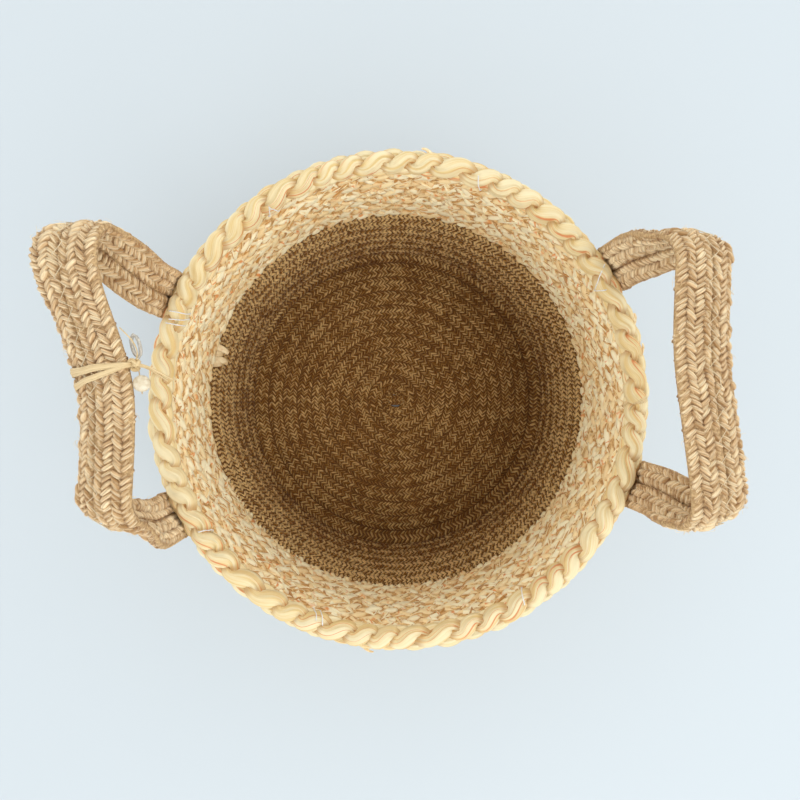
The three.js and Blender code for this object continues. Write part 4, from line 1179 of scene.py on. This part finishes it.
def knot_path(turned):
    """A trefoil, pulled tight. Two of these make the knot."""
    middle = tie_place(KNOT_INWARD, 0, 0)
    points = []
    for number in range(KNOT_STEPS):
        t = TURN * number / KNOT_STEPS
        spot = Vector((math.sin(t) + 2 * math.sin(2 * t), math.cos(t) - 2 * math.cos(2 * t),
                       -KNOT_BULGE * math.sin(3 * t)))
        points.append(middle + turned @ spot * KNOT_SIZE * MILLIMETRE)
    return points


raffia_meshes = []
for strand, (spread, rise) in enumerate(TIE_STRANDS):
    edge = strap_reach
    over = ((edge + 2.2, 0, 0.7), (edge - 0.4, 0.1, rise), (edge * 0.5, 0.3, rise), (1.5, 0.5, rise),
            (-1.5, 0.6, rise), (-edge * 0.5, 0.8, rise), (-edge + 1.6, 1, rise - 0.4), (-edge + 0.5, 1, 0))
    under = ((-edge + 1.6, 1, 0.4 - rise), (-1.5, 0.6, -rise), (1.5, 0.5, -rise), (edge * 0.5, 0.3, -rise),
             (edge - 0.4, 0.1, -rise), (edge + 2.2, 0, -0.7))
    corners = [tie_place(inward, spread * share, above) for inward, share, above in over + under]
    raffia_meshes.append(flat_strand(f"tie_strand_{strand}", smooth_path(corners), tie_along, RAFFIA_WIDTH,
                                     RAFFIA_THICKNESS))
for strand, (corners, width) in enumerate(TIE_ENDS):
    corners = [tie_place(KNOT_INWARD + inward, along, above) for inward, along, above in corners]
    raffia_meshes.append(flat_strand(f"tie_end_{strand}", smooth_path(corners), tie_along, width,
                                     RAFFIA_THICKNESS, end_width=0.5))
for number, turned in enumerate(KNOT_TURNS):
    raffia_meshes.append(flat_strand(f"tie_knot_{number}", knot_path(turned), tie_along, RAFFIA_WIDTH,
                                     RAFFIA_THICKNESS * 2, closed=True))
tie = gathered("left_tie_raffia", raffia_meshes, raffia())
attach(tie, "left_handle")
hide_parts("left_grip_tie")

bead_wood = streaked_finish("turned_bead_wood", *BEAD_COLOURS, scale=700.0, stretch=(1.0, 1.0, 0.3),
                            roughness=0.45)
grey_thread = streaked_finish("grey_thread", *GREY_THREAD_COLOURS, scale=2200.0, stretch=(1.0, 0.4, 1.0),
                              roughness=0.9)
for node, finish in (("left_grip_tie_bead", bead_wood), ("left_grip_tie_thread", grey_thread)):
    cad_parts[node].data.materials.clear()
    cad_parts[node].data.materials.append(finish)


# Loose ends: white sewing thread that holds the rim to the band, and torn husk.
# The thread goes over the plait in a few places, each given as its angle, its slant and how far over it goes.
# The flakes hang at the foot of the band and off the rim, by angle, width, length and curl.
SEWN_PLACES = ((158.3, 1.5, 110), (159.9, 2.0, 100), (161.4, 1.0, 112), (123.4, 2.0, 40), (125.0, -1.5, 45),
               (31.5, 5.0, 120), (28.9, -1.5, 60), (70.0, 2.0, 70), (214.0, -2.0, 80), (248.0, 2.0, 60),
               (249.8, 2.0, 70), (302.0, -2.0, 90))
SEWING_THREAD = 0.6
SEWN_FROM = -32
SEWN_STEPS = 16
SEWN_END_SHARE = 0.6
FLAKES = ((163.6, 5.6, 7.0, 1.0), (165.2, 7.0, 9.5, -0.8), (167.0, 6.2, 11.0, 0.8), (168.6, 5.4, 8.0, -0.5))
FLAKE_THICKNESS = 0.6
RIM_FLAKE_THICKNESS = 0.5
FLAKE_FROM_ABOVE_JUTE = 4
FLAKE_SEAT_ABOVE_JUTE = 7
RIM_FLAKES = ((18.6, 2.8, 3.6), (11.4, 2.4, 3.0), (83.5, 2.8, 3.6), (262.0, 2.2, 3.0))
SEWING_THREAD_COLOURS = ((0.70, 0.70, 0.69), (0.86, 0.86, 0.85))
TORN_HUSK_COLOURS = ((0.78, 0.54, 0.26), (0.98, 0.84, 0.56))


def outline_at(piece_names, angle, spread):
    """Every point of some pieces near one angle, as (radius, height) in metres."""
    spots = []
    for piece_name in piece_names:
        for vertex in bpy.data.objects[piece_name].data.vertices:
            turned_by = math.degrees(math.atan2(vertex.co.y, vertex.co.x)) - angle
            if abs((turned_by + 180) % 360 - 180) < spread:
                spots.append(Vector((math.hypot(vertex.co.x, vertex.co.y), vertex.co.z)))
    return spots


def out_from_axis(angle, radius, height):
    return Vector((radius * math.cos(math.radians(angle)), radius * math.sin(math.radians(angle)), height))


rim_names = [f"rim_husk_strand_{number + 1}" for number in range(RIM_STRANDS)]
thread_meshes = []
for number, (angle, slant, last_way) in enumerate(SEWN_PLACES):
    spots = outline_at(rim_names, angle, 1.2)
    middle = sum(spots, Vector((0, 0))) / len(spots)
    path = []
    for stage in range(SEWN_STEPS + 1):
        around = math.radians(SEWN_FROM + (last_way - SEWN_FROM) * stage / SEWN_STEPS)
        way = Vector((-math.cos(around), math.sin(around)))
        reach = max((spot - middle).dot(way) for spot in spots)
        spot = middle + way * reach * (SEWN_END_SHARE if stage in (0, SEWN_STEPS) else 1)
        path.append(out_from_axis(angle + slant * (stage / SEWN_STEPS - 0.5), spot.x, spot.y))
    thread_meshes.append(flat_strand(f"sewing_thread_{number}", path, Vector((0, 0, 1)), SEWING_THREAD,
                                     SEWING_THREAD))
sewing_thread = gathered("rim_sewing_threads", thread_meshes, streaked_finish(
    "white_sewing_thread", *SEWING_THREAD_COLOURS, scale=1500.0, stretch=(1.0, 1.0, 1.0), roughness=0.8))
flake_meshes = []
for number, (angle, width, length, curl) in enumerate(FLAKES):
    foot = [spot for spot in outline_at(["husk_band_braid_lower"], angle, 2)
            if spot.y < (JUTE_TOP + FLAKE_SEAT_ABOVE_JUTE) * MILLIMETRE]
    radius = min(spot.x for spot in foot)
    corners = [out_from_axis(angle + curl * share * share, radius - inward * MILLIMETRE,
                             (JUTE_TOP + FLAKE_FROM_ABOVE_JUTE - length * share) * MILLIMETRE)
               for share, inward in ((0, -0.6), (0.3, 0.6), (0.65, 2.4 + curl), (1, 3.0 + curl * 2))]
    flat = out_from_axis(angle + 90, 1, 0.3)
    flake_meshes.append(flat_strand(f"husk_flake_{number}", smooth_path(corners), flat, width,
                                    FLAKE_THICKNESS, end_width=0.55))
for number, (angle, width, length) in enumerate(RIM_FLAKES):
    outer = max(outline_at(rim_names, angle, 1), key=lambda spot: spot.x + spot.y * 0.5)
    corners = [out_from_axis(angle + share * 0.9, outer.x + reach * length * MILLIMETRE,
                             outer.y + rise * length * MILLIMETRE)
               for share, reach, rise in ((-1, -0.5, -0.2), (0, -0.1, 0.1), (1, 0.2, 0.2), (2, 0.1, 0.5))]
    flake_meshes.append(flat_strand(f"rim_flake_{number}", smooth_path(corners), out_from_axis(angle, 1, 1),
                                    width, RIM_FLAKE_THICKNESS, end_width=0.3))
flakes = gathered("husk_flakes", flake_meshes, streaked_finish(
    "torn_husk", *TORN_HUSK_COLOURS, scale=400.0, stretch=(1.0, 1.0, 0.3), roughness=0.6))
for piece, slot in ((sewing_thread, "thread"), (flakes, "husk_coil")):
    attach(piece, "root")


# Seam thread: a thin pale thread that joins the two braids of each strap from side to side.
# It is drawn down between the stitches, so only its crossings show.
SEAM_STEP = 4.2
SEAM_REACH = 1.7
SEAM_HEIGHT = 2.75
SEAM_THREAD = 0.42
SEAM_FROM = 20
SEAM_COLOURS = ((0.58, 0.46, 0.29), (0.80, 0.68, 0.46))
seam_finish = streaked_finish("seam_thread", *SEAM_COLOURS, scale=1500.0, stretch=(1.0, 1.0, 1.0),
                              roughness=0.9)
seam_crossings = int((half_loop_length - SEAM_FROM) / SEAM_STEP)
for handle in (RIGHT_HANDLE, LEFT_HANDLE):
    turned = Matrix.Rotation(handle["angle"], 3, "Z")
    path = []
    for side in (1, -1):
        for number in range(seam_crossings + 1):
            before_middle = seam_crossings - number if side == 1 else number + 1
            frame_there = loop_frame(half_loop_length - before_middle * SEAM_STEP, side, handle)
            inward = (SEAM_REACH if number % 2 else -SEAM_REACH) - STRAP_GROOVE_OUTSET / 2
            path.append(turned @ on_strap(frame_there, inward, SEAM_HEIGHT) * MILLIMETRE)
    piece_name = handle["body"].split("_")[0] + "_strap_seam_thread"
    seam = new_piece(piece_name, flat_strand(piece_name, path, Vector((0, 0, 1)), SEAM_THREAD, SEAM_THREAD),
                     seam_finish)
    bend_at_rim(seam)


# Stray fibres: short single hairs of jute that stand off the coil and the straps.
# They are finest on the straps, where they blur the edges. Each braid has its own number to the square metre,
# the length of its longest hair in millimetres, and how far they tilt.
FIBRE_SWELL = ((-0.5, 0.05, 0.05), (-0.25, 0.13, 0.13), (0, 0.15, 0.15), (0.25, 0.13, 0.13),
               (0.5, 0.05, 0.05))
FLOOR_HAIRS = (3500.0, 7, 0.12)
WALL_HAIRS = (3500.0, 7, 0.2)
STRAP_HAIRS = (24000.0, 6, 0.5)
HAIRY_BRAIDS = {**{f"jute_floor_braid_{part}": FLOOR_HAIRS for part in ("inner", "outer")},
                **{f"jute_wall_braid_{part}": WALL_HAIRS for part in ("lower", "middle", "upper")},
                **{f"{side}_strap_{part}_braid": STRAP_HAIRS for side in ("right", "left")
                   for part in ("inner", "outer")}}
COIL_HAIR_COLOURS = ((0.45, 0.25, 0.08), (0.85, 0.58, 0.27))
STRAP_HAIR_COLOURS = ((0.78, 0.56, 0.28), (0.98, 0.84, 0.56))


def fibre_tree():
    """Scatters fibres over a braid, each turned at random and a little tilted."""
    tree, wanted = new_tree("stray fibres", "GeometryNodeTree", {
        "Braid": "Geometry", "Fibre shapes": "Collection", "Density": "Float", "Longest": "Float",
        "Tilt": "Float", "Seed": "Int", "Yarn": "Material"}, {"Fibres": "Geometry"})
    step, product, total = sums_of(tree)

    def turned(rotation, axis, angle):
        turn = built(tree, "FunctionNodeAxisAngleToRotation", {"Axis": axis, "Angle": angle})
        return built(tree, "FunctionNodeRotateRotation", {0: rotation, 1: turn}, rotation_space="LOCAL")

    spots = place(tree, "GeometryNodeDistributePointsOnFaces", {
        "Mesh": wanted["Braid"], "Density": wanted["Density"], "Seed": wanted["Seed"]}).outputs
    rotation = turned(spots["Rotation"], (0, 0, 1), chance(tree, wanted, 1, 0.0, TURN))
    tilt = chance(tree, wanted, 2, product(wanted["Tilt"], -1.0), wanted["Tilt"])
    rotation = turned(rotation, (0, 1, 0), tilt)
    length = chance(tree, wanted, 3, product(wanted["Longest"], 0.4), wanted["Longest"])
    fibres = scattered(tree, spots["Points"], wanted["Fibre shapes"], rotation,
                       combined(tree, length, MILLIMETRE, MILLIMETRE))
    return finish_tree(tree, fibres, wanted["Yarn"])


STRAY_FIBRES = fibre_tree()
fibre_shapes = stitch_shapes("stray_fibre", 3, FIBRE_SWELL, bowed={"bow": 1.4}, straight={"bow": -0.4},
                             curled={"bow": 2.6})
coil_fibre = braid_inside("coil_fibre", *COIL_HAIR_COLOURS, scale=60.0)
strap_fibre = braid_inside("strap_fibre", *STRAP_HAIR_COLOURS, scale=60.0)
for number, (braid_name, (density, longest, tilt)) in enumerate(HAIRY_BRAIDS.items()):
    on_coil = braid_name.startswith("jute")
    fibres = grow(braid_name + "_fibres", bpy.data.objects[braid_name].data.copy(), STRAY_FIBRES,
                  Fibre_shapes=fibre_shapes, Density=density, Longest=longest * MILLIMETRE, Tilt=tilt,
                  Seed=91 + number, Yarn=coil_fibre if on_coil else strap_fibre)
    if on_coil:
        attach(fibres, "root")
    else:
        bend_at_rim(fibres)
